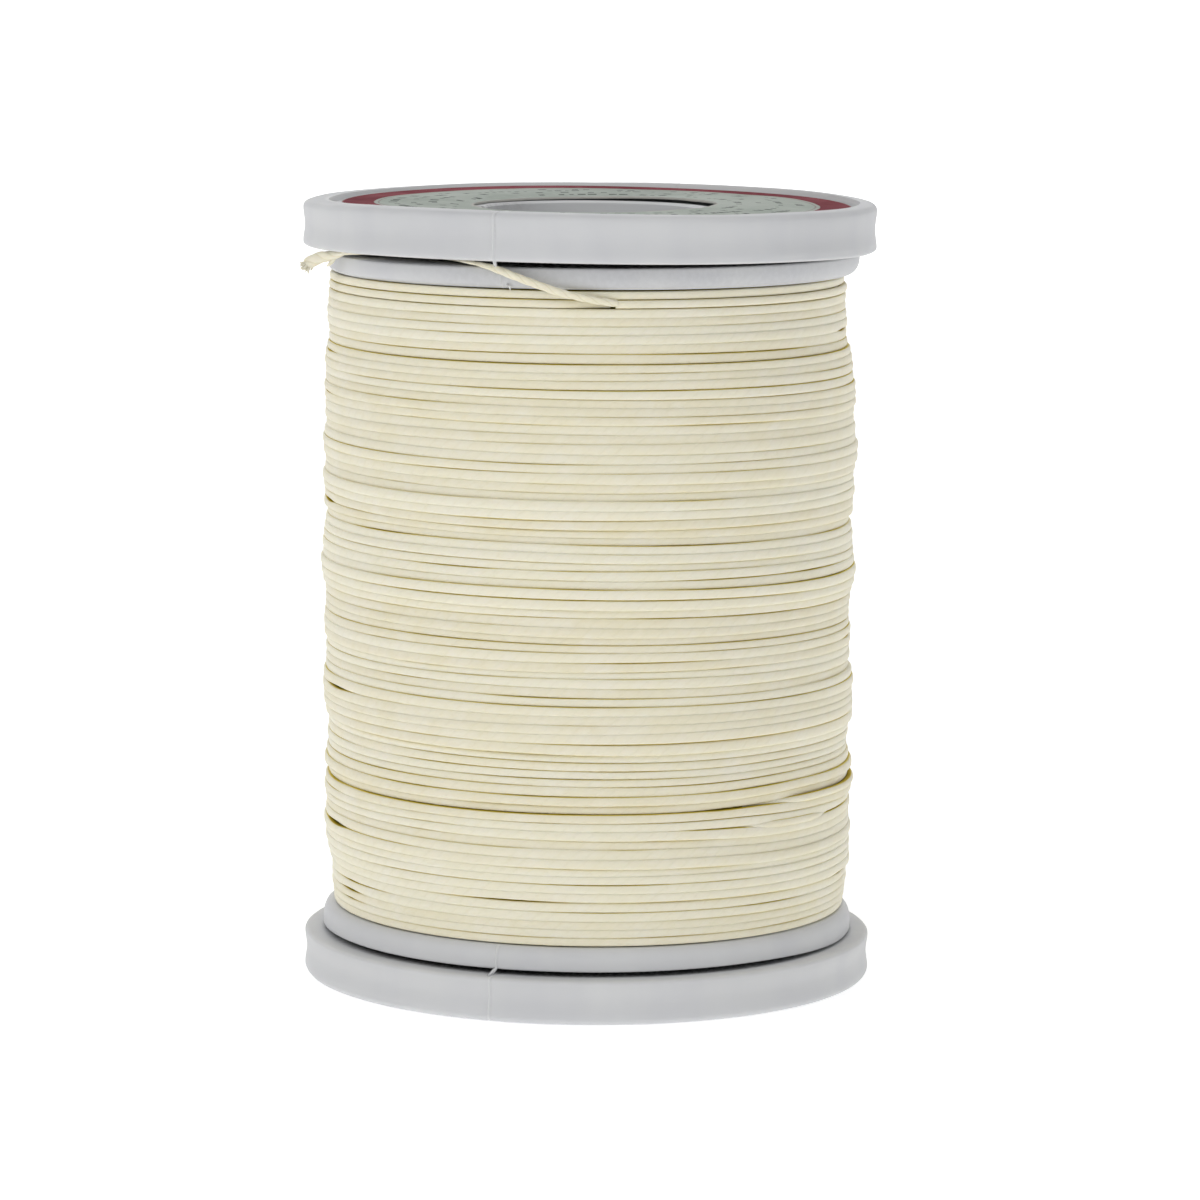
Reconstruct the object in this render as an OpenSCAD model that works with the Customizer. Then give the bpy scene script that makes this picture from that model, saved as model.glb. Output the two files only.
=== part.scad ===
// Waxed cord on a one-piece moulded spool.
// Millimetres, +Z up. The origin is on the spool's axis, in the plane that the spool stands on.
// Angle 0 is the front of the spool (-Y), and angles grow towards +X.

/* [Spool] */
// Outside diameter of the two outer flanges
flange_d = 43; // [42:0.5:46]
// Overall height, from the bottom crest to the top crest
overall_h = 59; // [50:1:70]
// Thickness of each outer flange
flange_t = 3.35; // [3:0.05:4]
// Thickness of each inner disc, next to the cord
disc_t = 1.6; // [1.4:0.1:2.2]
// How far the inner discs stay inside the outer flanges
disc_inset = 1.4; // [1.2:0.1:2]
// Height of each cord-holding slit
slit_h = 0.5; // [0.45:0.05:0.8]
// How far each slit reaches in from the edge of its disc
slit_depth = 3.2; // [2.6:0.1:4.5]
// How far the rim of each outer flange is waisted in
rim_waist = 0.13; // [0:0.01:0.3]

/* [Barrel and bore] */
// Outside diameter of the barrel, under the cord
barrel_d = 25; // [24:0.5:28]
// Wall thickness of the barrel
barrel_wall = 1.2; // [0.8:0.1:1.4]
// Diameter of the bore
bore_d = 16.5; // [14:0.5:17]
// Wall thickness of the tube around the bore
tube_wall = 1.1; // [0.8:0.1:1.2]
// Thickness of the web that joins the tube to the barrel at mid height
web_t = 1.5; // [1:0.1:3]
// How far the ends of the tube stay below the crests
tube_setback = 0.8; // [0.75:0.05:1.5]

/* [End faces] */
// Width of the flat crest that the spool stands on
crest_w = 0.8; // [0.6:0.1:1]
// Drop from the crest to the outer corner of the rim
rim_drop = 0.25; // [0.1:0.05:0.4]
// Depth of the label recess at its outer edge
recess_depth = 0.45; // [0.4:0.01:0.5]
// Extra depth of the label recess at its inner edge
recess_dish = 0.15; // [0:0.01:0.2]

/* [Labels] */
// Gap between the edge of a label and the wall of its recess
label_gap = 0.15; // [0.05:0.05:0.5]
// Diameter of the hole in each label
label_hole_d = 18.1; // [17.6:0.1:20]
// Thickness of each label
label_t = 0.18; // [0.1:0.02:0.26]

/* [Cord] */
// Diameter of the waxed cord
cord_d = 0.65; // [0.55:0.01:0.75]
// How far the wound cord stays inside the edge of the inner discs
wound_inset = 0.2; // [0.1:0.05:0.6]
// How much smaller the wound cord is at its two ends
end_taper = 0.55; // [0.3:0.05:0.8]
// Length of the taper at each end of the wound cord
taper_len = 5; // [2:0.5:10]
// Where the loose tail leaves the last turn, in degrees from the front
tail_start = 5; // [-10:1:20]
// Where the loose tail comes out of the slit, in degrees from the tail's start towards -X
tail_sweep = 69; // [55:1:80]

/* [Hidden] */

plastic_colour = [0.78, 0.79, 0.80];
label_colour = [0.46, 0.23, 0.25];
cord_colour = [0.89, 0.86, 0.79];
round_fn = 180;                                // facets round the spool's axis

// Radii and heights of the spool
flange_r = flange_d / 2;
disc_r = flange_r - disc_inset;
barrel_r = barrel_d / 2;
cavity_r = barrel_r - barrel_wall;             // inside of the barrel
bore_r = bore_d / 2;
tube_r = bore_r + tube_wall;
slit_r = disc_r - slit_depth;
disc_z0 = flange_t + slit_h;                   // bottom of the lower inner disc
wind_z0 = disc_z0 + disc_t;                    // bottom of the winding space
wind_z1 = overall_h - wind_z0;                 // top of the winding space
slit_z = overall_h - flange_t - slit_h / 2;    // middle of the top slit
disc_top_z = slit_z - slit_h / 2;              // top of the upper inner disc

// Crest and recess edges
crest_r = flange_r - 1.65;                     // middle of the crest
crest_inner_r = crest_r - crest_w / 2;
crest_outer_r = crest_r + crest_w / 2;
recess_r = crest_inner_r - 0.1;
recess_lip = 0.05;                             // upright edge between crest and recess wall

// Rounded edges
corner_r = 0.22;                               // rim corners
inner_corner_w = corner_r + 0.1;               // rim corner next to the slit, along the radius
disc_corner_r = 0.1;                           // edge of a disc next to its slit
shoulder_start = 0.25;                         // height in the disc where its shoulder starts
shoulder_w = 1.0;                              // edge of a disc next to the cord, along the radius
shoulder_h = disc_t - shoulder_start;          // the same edge, along the height
fillet_r = 0.6;                                // between disc and barrel

label_clear = 0.01;                            // between a label and the recess floor

// Wound cord
cord_r = cord_d / 2;
side_gap = 0.05;                               // clearance round the wound cord
package_h = wind_z1 - wind_z0 - 2 * side_gap;
turns = floor(package_h / cord_d);
pitch = package_h / turns;
last_i = turns - 2;                            // the last turn is the second one down
moving_r = cord_r - 0.035;                     // the last turn and the tail are a little slimmer
core_step_w = 0.7;                             // step in the package's inner corners, along the
core_step_h = 0.65;                            // radius and the height, to clear the fillets
backing_w = 1;                                 // overlap of the core and the fill behind the turns
groove_h = cord_r * 1.88;                      // opening of the last turn's groove
groove_w = 2;                                  // reach of that opening past the package
trim_w = 30;                                   // blocks that trim the package ends
trim_h = 1;
last_turn_lead = 2;                            // degrees from the tail's start to the last turn
last_turn_gap = 13;                            // degrees left open in the last turn

// ---- Helpers ----

// Points of an elliptical arc, from angle a0 to a1
function arc(centre, rx, ry, a0, a1, steps) = [
    for (i = [0:steps])
        let (a = a0 + (a1 - a0) * i / steps)
        [centre[0] + rx * cos(a), centre[1] + ry * sin(a)]];

// A half profile turned upside down, in the order that keeps it running the same way
function flipped(profile) =
    [for (i = [len(profile) - 1:-1:0]) [profile[i][0], overall_h - profile[i][1]]];

// ---- Spool ----

// Waisted rim of the bottom flange, between its two corners
function rim_wall(steps) =
    let (z0 = rim_drop + corner_r, z1 = flange_t - corner_r)
    [for (i = [1:steps - 1])
        let (share = i / steps)
        [flange_r - rim_waist * pow(sin(180 * share), 2), z0 + (z1 - z0) * share]];

// Outside of the bottom half, from the crest's inner edge up to the barrel
function half_outside() = concat(
    [[crest_inner_r, 0], [crest_outer_r, 0]],
    arc([flange_r - corner_r, rim_drop + corner_r], corner_r, corner_r, -78, 0, 5),
    rim_wall(14),
    arc([flange_r - inner_corner_w, flange_t - corner_r], inner_corner_w, corner_r, 0, 90, 6),
    [[slit_r, flange_t], [slit_r, disc_z0]],
    arc([disc_r - disc_corner_r, disc_z0 + disc_corner_r],
        disc_corner_r, disc_corner_r, -90, 0, 3),
    arc([disc_r - shoulder_w, disc_z0 + shoulder_start], shoulder_w, shoulder_h, 0, 88, 10),
    arc([barrel_r + fillet_r, wind_z0 + fillet_r], fillet_r, fillet_r, 270, 180, 5));

// Inside of the bottom half, from the web down through the cavity to the label recess
function half_cavity() = [
    [tube_r, overall_h / 2 - web_t / 2],
    [cavity_r, overall_h / 2 - web_t / 2],
    [cavity_r, recess_depth + recess_dish],
    [recess_r, recess_depth],
    [crest_inner_r, recess_lip]];

// One moulding: barrel, bore tube, web, inner discs, slits and outer flanges
module spool_body() {
    color(plastic_colour)
    rotate_extrude($fn = round_fn)
    polygon(concat(
        half_outside(),
        flipped(half_outside()),
        flipped(half_cavity()),
        [[tube_r, overall_h - tube_setback], [bore_r, overall_h - tube_setback],
         [bore_r, tube_setback], [tube_r, tube_setback]],
        half_cavity()));
}

// ---- Labels ----

// Height of the upper face of the bottom label, following the dished recess floor
function label_z(radius) =
    recess_depth - label_clear + recess_dish / (recess_r - cavity_r) * (recess_r - radius);

// A paper ring in the bottom recess
module label_ring() {
    hole_r = label_hole_d / 2;
    edge_r = recess_r - label_gap;
    hole_z = label_z(hole_r);
    edge_z = label_z(edge_r);
    rotate_extrude($fn = round_fn)
    polygon([[hole_r, hole_z - label_t], [edge_r, edge_z - label_t],
             [edge_r, edge_z], [hole_r, hole_z]]);
}

module bottom_label() {
    color(label_colour) label_ring();
}

module top_label() {
    color(label_colour)
    translate([0, 0, overall_h]) mirror([0, 0, 1]) label_ring();
}

// ---- Wound cord ----

// Height of the middle of turn i, counted up from the bottom
function turn_z(i) = wind_z0 + side_gap + pitch * (i + 0.5);
// Distance of turn i from the nearer end of the winding
function end_gap(i) = min(turn_z(i) - wind_z0, wind_z1 - turn_z(i));
// Share of the end taper at turn i, easing out to nothing
function taper_share(i) = end_gap(i) >= taper_len ? 0 : pow(1 - end_gap(i) / taper_len, 2);
// Radius of the centre line of turn i
function turn_r(i) = disc_r - wound_inset - cord_r - end_taper * taper_share(i);

// The wound package: closely laid turns over a solid of inner layers
module wound_thread() {
    core_r = turn_r(0);
    package_z0 = wind_z0 + side_gap;
    color(cord_colour)
    rotate_extrude($fn = round_fn)
    difference() {
        union() {
            translate([barrel_r + side_gap, package_z0 + core_step_h])
                square([core_r - barrel_r - side_gap, package_h - 2 * core_step_h]);
            translate([barrel_r + core_step_w, package_z0])
                square([core_r - barrel_r - core_step_w, package_h]);
            for (i = [0:turns - 1])
                translate([turn_r(i), turn_z(i)]) circle(r = cord_r * 1.02, $fn = 32);
            // fill between the core and the turns
            for (i = [1:turns - 2])
                translate([core_r - backing_w, turn_z(i) - pitch / 2])
                square([turn_r(i) - core_r + backing_w, pitch]);
        }
        // the groove that the last turn lies in
        translate([turn_r(last_i), turn_z(last_i)]) circle(r = cord_r, $fn = 32);
        translate([turn_r(last_i), turn_z(last_i) - groove_h / 2]) square([groove_w, groove_h]);
        // nothing of the package stands past the two end planes
        translate([0, wind_z0 - trim_h]) square([trim_w, trim_h + side_gap]);
        translate([0, wind_z1 - side_gap]) square([trim_w, trim_h + side_gap]);
    }
}

// The last full turn, open where the tail leaves it
module last_turn() {
    color(cord_colour)
    translate([0, 0, turn_z(last_i)])
    rotate([0, 0, -90 + tail_start + last_turn_lead])
    rotate_extrude(angle = 360 - last_turn_gap, $fn = round_fn)
    translate([turn_r(last_i), 0]) circle(r = moving_r, $fn = 24);
}

// ---- Loose tail ----

over_r = 2 * cord_r + 0.03;                    // tail centre from the centre of the top turn
climb_r = disc_r + moving_r + 0.1;             // radius of the tail outside the disc's edge
slip_t = slit_h / 2 - 0.05;                    // half thickness of the cord in the slit
flat_w = moving_r * 1.3;                       // half width of the cord in the slit

// [x, y] at an angle from the tail's start
function on_spool(angle, radius) =
    [radius * sin(angle + tail_start), -radius * cos(angle + tail_start)];
function unit(v) = v / norm(v);

// [angle from the tail's start, angle round the section of the top turn]
over_turn = [[-3.5, -76], [-7, -50], [-10, -18]];

// Climb from the last turn to the slit:
// [angle from the tail's start, radius, height, half thickness, half width]
entry_angle = -29.5;
entry_r = climb_r - 0.45;
climb = concat(
    [[0, turn_r(last_i), turn_z(last_i), moving_r, moving_r]],
    [for (step = over_turn)
        [step[0], turn_r(turns - 1) + over_r * cos(step[1]),
         turn_z(turns - 1) + over_r * sin(step[1]), moving_r, moving_r]],
    [[-13, climb_r - 0.2, disc_top_z - disc_t * 0.92, moving_r, moving_r],
     [-16, climb_r, disc_top_z - disc_t * 0.68, moving_r, moving_r],
     [-21, climb_r, disc_top_z - disc_t * 0.28, moving_r, moving_r],
     [-24.5, climb_r, disc_top_z, moving_r * 0.95, moving_r],
     [-27, climb_r - 0.1, slit_z - 0.02, slip_t, moving_r * 1.15],
     [entry_angle, entry_r, slit_z, slip_t, flat_w]]);

// Straight run through the slit
run_in = on_spool(entry_angle, entry_r);
run_out = on_spool(-tail_sweep, disc_r + 0.1);
run_parts = 5;

// The stub bends a little outwards as it leaves the slit, then droops:
// [distance from the slit, drop, half thickness, half width]
stub_dir = unit(unit(run_out - run_in) + 0.28 * unit(run_out));
stub = [
    [0, 0, slip_t, flat_w],
    [0.9, 0.04, slip_t * 1.15, moving_r * 1.25],
    [1.8, 0.3, moving_r * 0.95, moving_r * 1.15],
    [2.6, 0.75, moving_r, moving_r * 1.1],
    [3.3, 1.3, moving_r, moving_r * 1.1]];

// Stations of the whole tail: [x, y, z, half thickness, half width]
function tail_stations() = concat(
    [for (row = climb) concat(on_spool(row[0], row[1]), [row[2], row[3], row[4]])],
    [for (i = [1:run_parts - 1])
        concat(run_in + (run_out - run_in) * i / run_parts, [slit_z, slip_t, flat_w])],
    [for (row = stub) concat(run_out + stub_dir * row[0], [slit_z - row[1], row[2], row[3]])]);

// A smooth curve through the points (uniform Catmull-Rom), at share t of the span after point i
function spline_at(points, i, t) =
    let (
        n = len(points) - 1,
        before = points[max(i - 1, 0)],
        from = points[i],
        to = points[min(i + 1, n)],
        after = points[min(i + 2, n)])
    0.5 * (2 * from + (to - before) * t
        + (2 * before - 5 * from + 4 * to - after) * t * t
        + (3 * from - before - 3 * to + after) * t * t * t);
function smooth(points, per_span) = concat(
    [for (i = [0:len(points) - 2]) for (j = [0:per_span - 1])
        spline_at(points, i, j / per_span)],
    [points[len(points) - 1]]);

// A closed tube of elliptical section along a line of tail stations
module cord_along(stations, sides) {
    last = len(stations) - 1;
    centres = [for (row = stations) [row[0], row[1], row[2]]];
    points = [
        for (i = [0:last])
            let (
                along = unit(centres[min(i + 1, last)] - centres[max(i - 1, 0)]),
                side = unit(cross(along, [0, 0, 1])),
                up = cross(side, along))
            for (j = [0:sides - 1])
                let (a = 360 * j / sides)
                centres[i] + side * (stations[i][4] * cos(a)) + up * (stations[i][3] * sin(a))];
    faces = concat(
        [[for (j = [0:sides - 1]) j]],
        [for (i = [0:last - 1]) for (j = [0:sides - 1])
            let (k = (j + 1) % sides)
            [i * sides + j, (i + 1) * sides + j, (i + 1) * sides + k, i * sides + k]],
        [[for (j = [sides - 1:-1:0]) last * sides + j]]);
    polyhedron(points = points, faces = faces, convexity = 6);
}

// The loose end of the cord: off the last turn, over the top disc, along the slit and out
module loose_tail() {
    color(cord_colour)
    cord_along(smooth(tail_stations(), 3), 12);
}

spool_body();
top_label();
bottom_label();
wound_thread();
last_turn();
loose_tail();
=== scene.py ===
"""A moulded plastic spool, wound with waxed cord, with a paper label on each end.

The spool stands on the floor with its axis on Z. Its front faces -Y and its right side is +X.
Shapes are in millimetres; the stage, lights, camera and shader depths are in metres. Angles are
in degrees from the front (-Y) and grow towards +X.
"""
import math
import bmesh
import bpy
import numpy as np
from mathutils import Matrix, Vector


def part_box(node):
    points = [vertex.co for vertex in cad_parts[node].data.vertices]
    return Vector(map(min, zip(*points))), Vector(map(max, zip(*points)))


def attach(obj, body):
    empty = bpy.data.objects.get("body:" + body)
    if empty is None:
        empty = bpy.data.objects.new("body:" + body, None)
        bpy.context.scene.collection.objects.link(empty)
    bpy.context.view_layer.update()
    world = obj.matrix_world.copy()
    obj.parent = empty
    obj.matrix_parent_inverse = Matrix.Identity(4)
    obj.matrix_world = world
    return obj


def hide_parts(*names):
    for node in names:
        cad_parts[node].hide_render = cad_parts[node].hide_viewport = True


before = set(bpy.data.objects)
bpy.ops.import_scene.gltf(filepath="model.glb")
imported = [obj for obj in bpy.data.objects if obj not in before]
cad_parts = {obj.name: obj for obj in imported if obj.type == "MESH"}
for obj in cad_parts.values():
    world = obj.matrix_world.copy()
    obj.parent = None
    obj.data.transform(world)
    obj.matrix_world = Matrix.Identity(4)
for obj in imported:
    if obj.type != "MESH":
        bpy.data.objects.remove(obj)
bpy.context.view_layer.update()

MM = 0.001
UV_NAME = "OFBake"

# ----------------------------------------------------------------------------
# Driving dimensions
# ----------------------------------------------------------------------------
body_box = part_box("spool_body")
HEIGHT = (body_box[1][2] - body_box[0][2]) / MM
FLANGE_R = (body_box[1][0] - body_box[0][0]) / 2 / MM
FLANGE_T = 3.35                      # outer flange thickness
DISC_T = 1.6                         # inner disc thickness
SLIT = 0.5                           # gap between a flange and its disc
DISC_DEPTH = 3.2                     # how deep the slit cuts in from the disc's rim
DISC_R = FLANGE_R - 1.4
SLIT_R = DISC_R - DISC_DEPTH         # slit floor
BARREL_R = 12.5
CAVITY_R = 11.3
TUBE_R = 9.35
BORE_R = 8.25
CREST_R = FLANGE_R - 1.25
RECESS_R = CREST_R - 0.4
DISC_Z = FLANGE_T + SLIT             # outer face of the bottom disc
TOP_FLANGE_Z = HEIGHT - FLANGE_T     # underside of the top flange
WIND_LOW = DISC_Z + DISC_T           # winding space
WIND_HIGH = HEIGHT - WIND_LOW
SEAM = -19.2                         # parting line; its twin is half a turn away

LABEL_SHIFT = 0.34                   # the top label sits this far off centre, to the right

TURNS = 73
WOUND = TURNS - 3                    # settled turns; three separate rings lie above them
UNDER_ROW, MOVING_ROW, TOP_ROW = WOUND, WOUND + 1, WOUND + 2
PITCH = (WIND_HIGH - WIND_LOW - 0.1) / TURNS
RING_R = (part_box("last_turn")[1][0]) / MM - 0.29     # centre line of the moving turn
PLY = 1.07                           # one ply crosses the crown every so many mm


def turn_z(row):
    return WIND_LOW + 0.05 + PITCH * (row + 0.5)


# ----------------------------------------------------------------------------
# Numeric helpers
# ----------------------------------------------------------------------------
def ease(start, end, x):
    """Smooth step from 0 at start to 1 at end; start may be the larger."""
    t = np.clip((np.asarray(x, float) - start) / (end - start), 0, 1)
    return t * t * (3 - 2 * t)


def bell(x, width):
    return np.exp(-(x / width) ** 2)


def smoothed(samples, sigma):
    """Unit noise from random samples, smoothed over sigma samples; it closes on itself."""
    count = len(samples)
    spectrum = np.fft.rfft(samples)
    spectrum *= np.exp(-0.5 * (2 * np.pi * np.fft.rfftfreq(count) * sigma) ** 2)
    s = np.fft.irfft(spectrum, count)
    return (s - s.mean()) / (s.std() + 1e-12)


def loop_noise(count, sigma, seed):
    return smoothed(np.random.default_rng(seed).standard_normal(count), sigma)


def angle_off(angle, ref):
    """Signed difference of two angles in degrees, within 180."""
    return (np.asarray(angle, float) - ref + 180.0) % 360.0 - 180.0


def arc_off(angle, ref, r):
    """The same difference as a length at radius r."""
    return angle_off(angle, ref) * np.pi / 180 * r


def polar(angle, r, z):
    turn = np.radians(angle)
    return np.stack(np.broadcast_arrays(r * np.sin(turn), -r * np.cos(turn), z), -1)


def signed_power(x, power):
    return np.sign(x) * np.abs(x) ** power


def unit(v):
    return v / np.linalg.norm(v)


# ----------------------------------------------------------------------------
# Mesh helpers
# ----------------------------------------------------------------------------
def build(name, points, quads, material, tris=(), uv=None, attrs=None):
    """A smooth mesh object: points in mm, quads, then triangles, and UVs for each loop."""
    me = bpy.data.meshes.new(name)
    points = np.asarray(points, float) * MM
    quads = np.asarray(quads, np.int32).reshape(-1, 4)
    tris = np.asarray(tris, np.int32).reshape(-1, 3)
    loops = np.concatenate([quads.ravel(), tris.ravel()])
    starts = np.concatenate([np.arange(len(quads)) * 4, quads.size + np.arange(len(tris)) * 3])
    me.vertices.add(len(points))
    me.vertices.foreach_set("co", points.astype(np.float32).ravel())
    me.loops.add(len(loops))
    me.loops.foreach_set("vertex_index", loops.astype(np.int32))
    me.polygons.add(len(starts))
    me.polygons.foreach_set("loop_start", starts.astype(np.int32))
    me.update(calc_edges=True)
    me.polygons.foreach_set("use_smooth", np.full(len(starts), True))
    if uv is not None:
        layer = me.uv_layers.new(name=UV_NAME)
        layer.data.foreach_set("uv", np.asarray(uv, np.float32).ravel())
    for key, values in (attrs or {}).items():
        attribute = me.attributes.new(key, "FLOAT", "POINT")
        attribute.data.foreach_set("value", np.asarray(values, np.float32).ravel())
    me.update()
    me.materials.append(material)
    return link(bpy.data.objects.new(name, me))


def link(ob):
    bpy.context.scene.collection.objects.link(ob)
    return ob


def face_outward(ob):
    bm = bmesh.new()
    bm.from_mesh(ob.data)
    bmesh.ops.recalc_face_normals(bm, faces=bm.faces)
    bm.to_mesh(ob.data)
    bm.free()


def grid_quads(rings, per_ring, close_rings, close_section, flipped=False):
    """Quads between neighbouring rings of points."""
    i = np.arange(rings if close_rings else rings - 1)[:, None]
    j = np.arange(per_ring if close_section else per_ring - 1)[None, :]
    i2, j2 = (i + 1) % rings, (j + 1) % per_ring
    corners = [i * per_ring + j, i2 * per_ring + j, i2 * per_ring + j2, i * per_ring + j2]
    if flipped:
        corners = [corners[k] for k in (0, 3, 2, 1)]
    return np.stack(corners, -1).reshape(-1, 4)


def grid_uvs(u0, u1, v0, v1, flipped=False):
    """The UV corners that belong to grid_quads."""
    u0, u1, v0, v1 = np.broadcast_arrays(u0, u1, v0, v1)
    if flipped:
        corners = (u0, v0, u0, v1, u1, v1, u1, v0)
    else:
        corners = (u0, v0, u1, v0, u1, v1, u0, v1)
    return np.stack(corners, -1).reshape(-1, 2)


def add_caps(points, per_ring):
    """Adds a centre point at both ends of a tube; gives the points and each end's triangles."""
    ring = np.arange(per_ring)
    following = np.roll(ring, -1)
    last = len(points) - per_ring
    centre = np.full(per_ring, len(points))
    start_cap = np.stack([centre, following, ring], -1)
    end_cap = np.stack([centre + 1, last + ring, last + following], -1)
    centres = [points[:per_ring].mean(0), points[-per_ring:].mean(0)]
    return np.concatenate([points, centres]), start_cap, end_cap


def lathe(name, profile, angles, material, attributes, deform=None):
    """A closed loop of (radius, height) turned through the given angles."""
    profile = np.asarray(profile, float)
    angles = np.asarray(angles, float)
    n, m = len(profile), len(angles)
    r = np.repeat(profile[None, :, 0], m, 0)
    z = np.repeat(profile[None, :, 1], m, 0)
    angle = np.repeat(angles[:, None], n, 1)
    if deform is not None:
        r, z = deform(r, z, angle)
    # a strip of UVs: u round the axis, v along the profile's length
    lengths = np.linalg.norm(np.roll(profile, -1, 0) - profile, axis=1)
    v = np.concatenate([[0], np.cumsum(lengths)])
    v = v / v[-1]
    u = (angles - angles[0]) / 360.0
    uv = grid_uvs(u[:, None], np.append(u[1:], 1.0)[:, None], v[None, :-1], v[None, 1:])
    return build(name, polar(angle, r, z).reshape(-1, 3), grid_quads(m, n, True, True),
                 material, uv=uv, attrs=attributes(r, z, angle))


def arc(centre, rx, ry, start, end, steps):
    return [(centre[0] + rx * math.cos(t), centre[1] + ry * math.sin(t))
            for t in np.radians(np.linspace(start, end, steps + 1))]


def subdivide(loop, step):
    """Adds points along the long straight runs of a closed loop."""
    out = []
    for k in range(len(loop)):
        a, b = np.array(loop[k]), np.array(loop[(k + 1) % len(loop)])
        parts = max(1, int(math.ceil(np.linalg.norm(b - a) / step)))
        out += [tuple(a + (b - a) * q / parts) for q in range(parts)]
    return out


# ----------------------------------------------------------------------------
# Materials
# ----------------------------------------------------------------------------
def srgb(*channels):
    """sRGB 0-255 to a linear colour."""
    def linear(c):
        c = c / 255
        return c / 12.92 if c <= 0.04045 else ((c + 0.055) / 1.055) ** 2.4
    return tuple(linear(c) for c in channels) + (1.0,)


class Shader:
    """A principled material and short ways to add nodes to it."""

    def __init__(self, name):
        self.material = bpy.data.materials.new(name)
        self.material.use_nodes = True
        self.tree = self.material.node_tree
        self.tree.nodes.clear()
        output = self.tree.nodes.new("ShaderNodeOutputMaterial")
        self.principled = self.tree.nodes.new("ShaderNodeBsdfPrincipled")
        self.tree.links.new(self.principled.outputs["BSDF"], output.inputs["Surface"])

    def set(self, socket, value):
        if isinstance(value, bpy.types.NodeSocket):
            self.tree.links.new(value, socket)
        else:
            socket.default_value = value

    def surface(self, values):
        for name, value in values.items():
            self.set(self.principled.inputs[name], value)

    def node(self, kind, inputs=None, **props):
        node = self.tree.nodes.new(kind)
        for key, value in props.items():
            setattr(node, key, value)
        for key, value in (inputs or {}).items():
            self.set(node.inputs[key], value)
        return node

    def math(self, operation, *values):
        return self.node("ShaderNodeMath", dict(enumerate(values)), operation=operation).outputs[0]

    def times(self, a, b):
        return self.math("MULTIPLY", a, b)

    def between(self, value, low, high):
        return self.times(self.math("GREATER_THAN", value, low),
                          self.math("LESS_THAN", value, high))

    def length(self, x, y):
        return self.math("SQRT", self.math("ADD", self.times(x, x), self.times(y, y)))

    def mix(self, factor, a, b):
        # sockets 6, 7 and output 2 are the colour ones
        return self.node("ShaderNodeMix", {0: factor, 6: a, 7: b}, data_type="RGBA",
                         clamp_factor=True).outputs[2]

    def ramp(self, value, span, to=(0.0, 1.0)):
        """Maps the span smoothly onto another pair of values."""
        return self.node("ShaderNodeMapRange", {
            "Value": value, "From Min": span[0], "From Max": span[1],
            "To Min": to[0], "To Max": to[1]}, interpolation_type="SMOOTHSTEP").outputs[0]

    def attr(self, name):
        return self.node("ShaderNodeAttribute", attribute_name=name).outputs["Fac"]

    def coord(self):
        return self.node("ShaderNodeTexCoord").outputs["Object"]

    def noise(self, coord, scale, detail, rough, stretch=None):
        if stretch is not None:
            coord = self.node("ShaderNodeVectorMath", {0: coord, 1: stretch},
                              operation="MULTIPLY").outputs[0]
        return self.node("ShaderNodeTexNoise", {
            "Vector": coord, "Scale": scale, "Detail": detail, "Roughness": rough}).outputs["Fac"]

    def white_noise(self, value):
        return self.node("ShaderNodeTexWhiteNoise", {"W": value},
                         noise_dimensions="1D").outputs["Value"]

    def bumps(self, layers):
        """Stacks bumps of (height, strength, distance in metres) on the surface."""
        normal = None
        for height, strength, distance in layers:
            inputs = {"Height": height, "Strength": strength, "Distance": distance}
            if normal is not None:
                inputs["Normal"] = normal
            normal = self.node("ShaderNodeBump", inputs).outputs["Normal"]
        self.surface({"Normal": normal})


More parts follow.
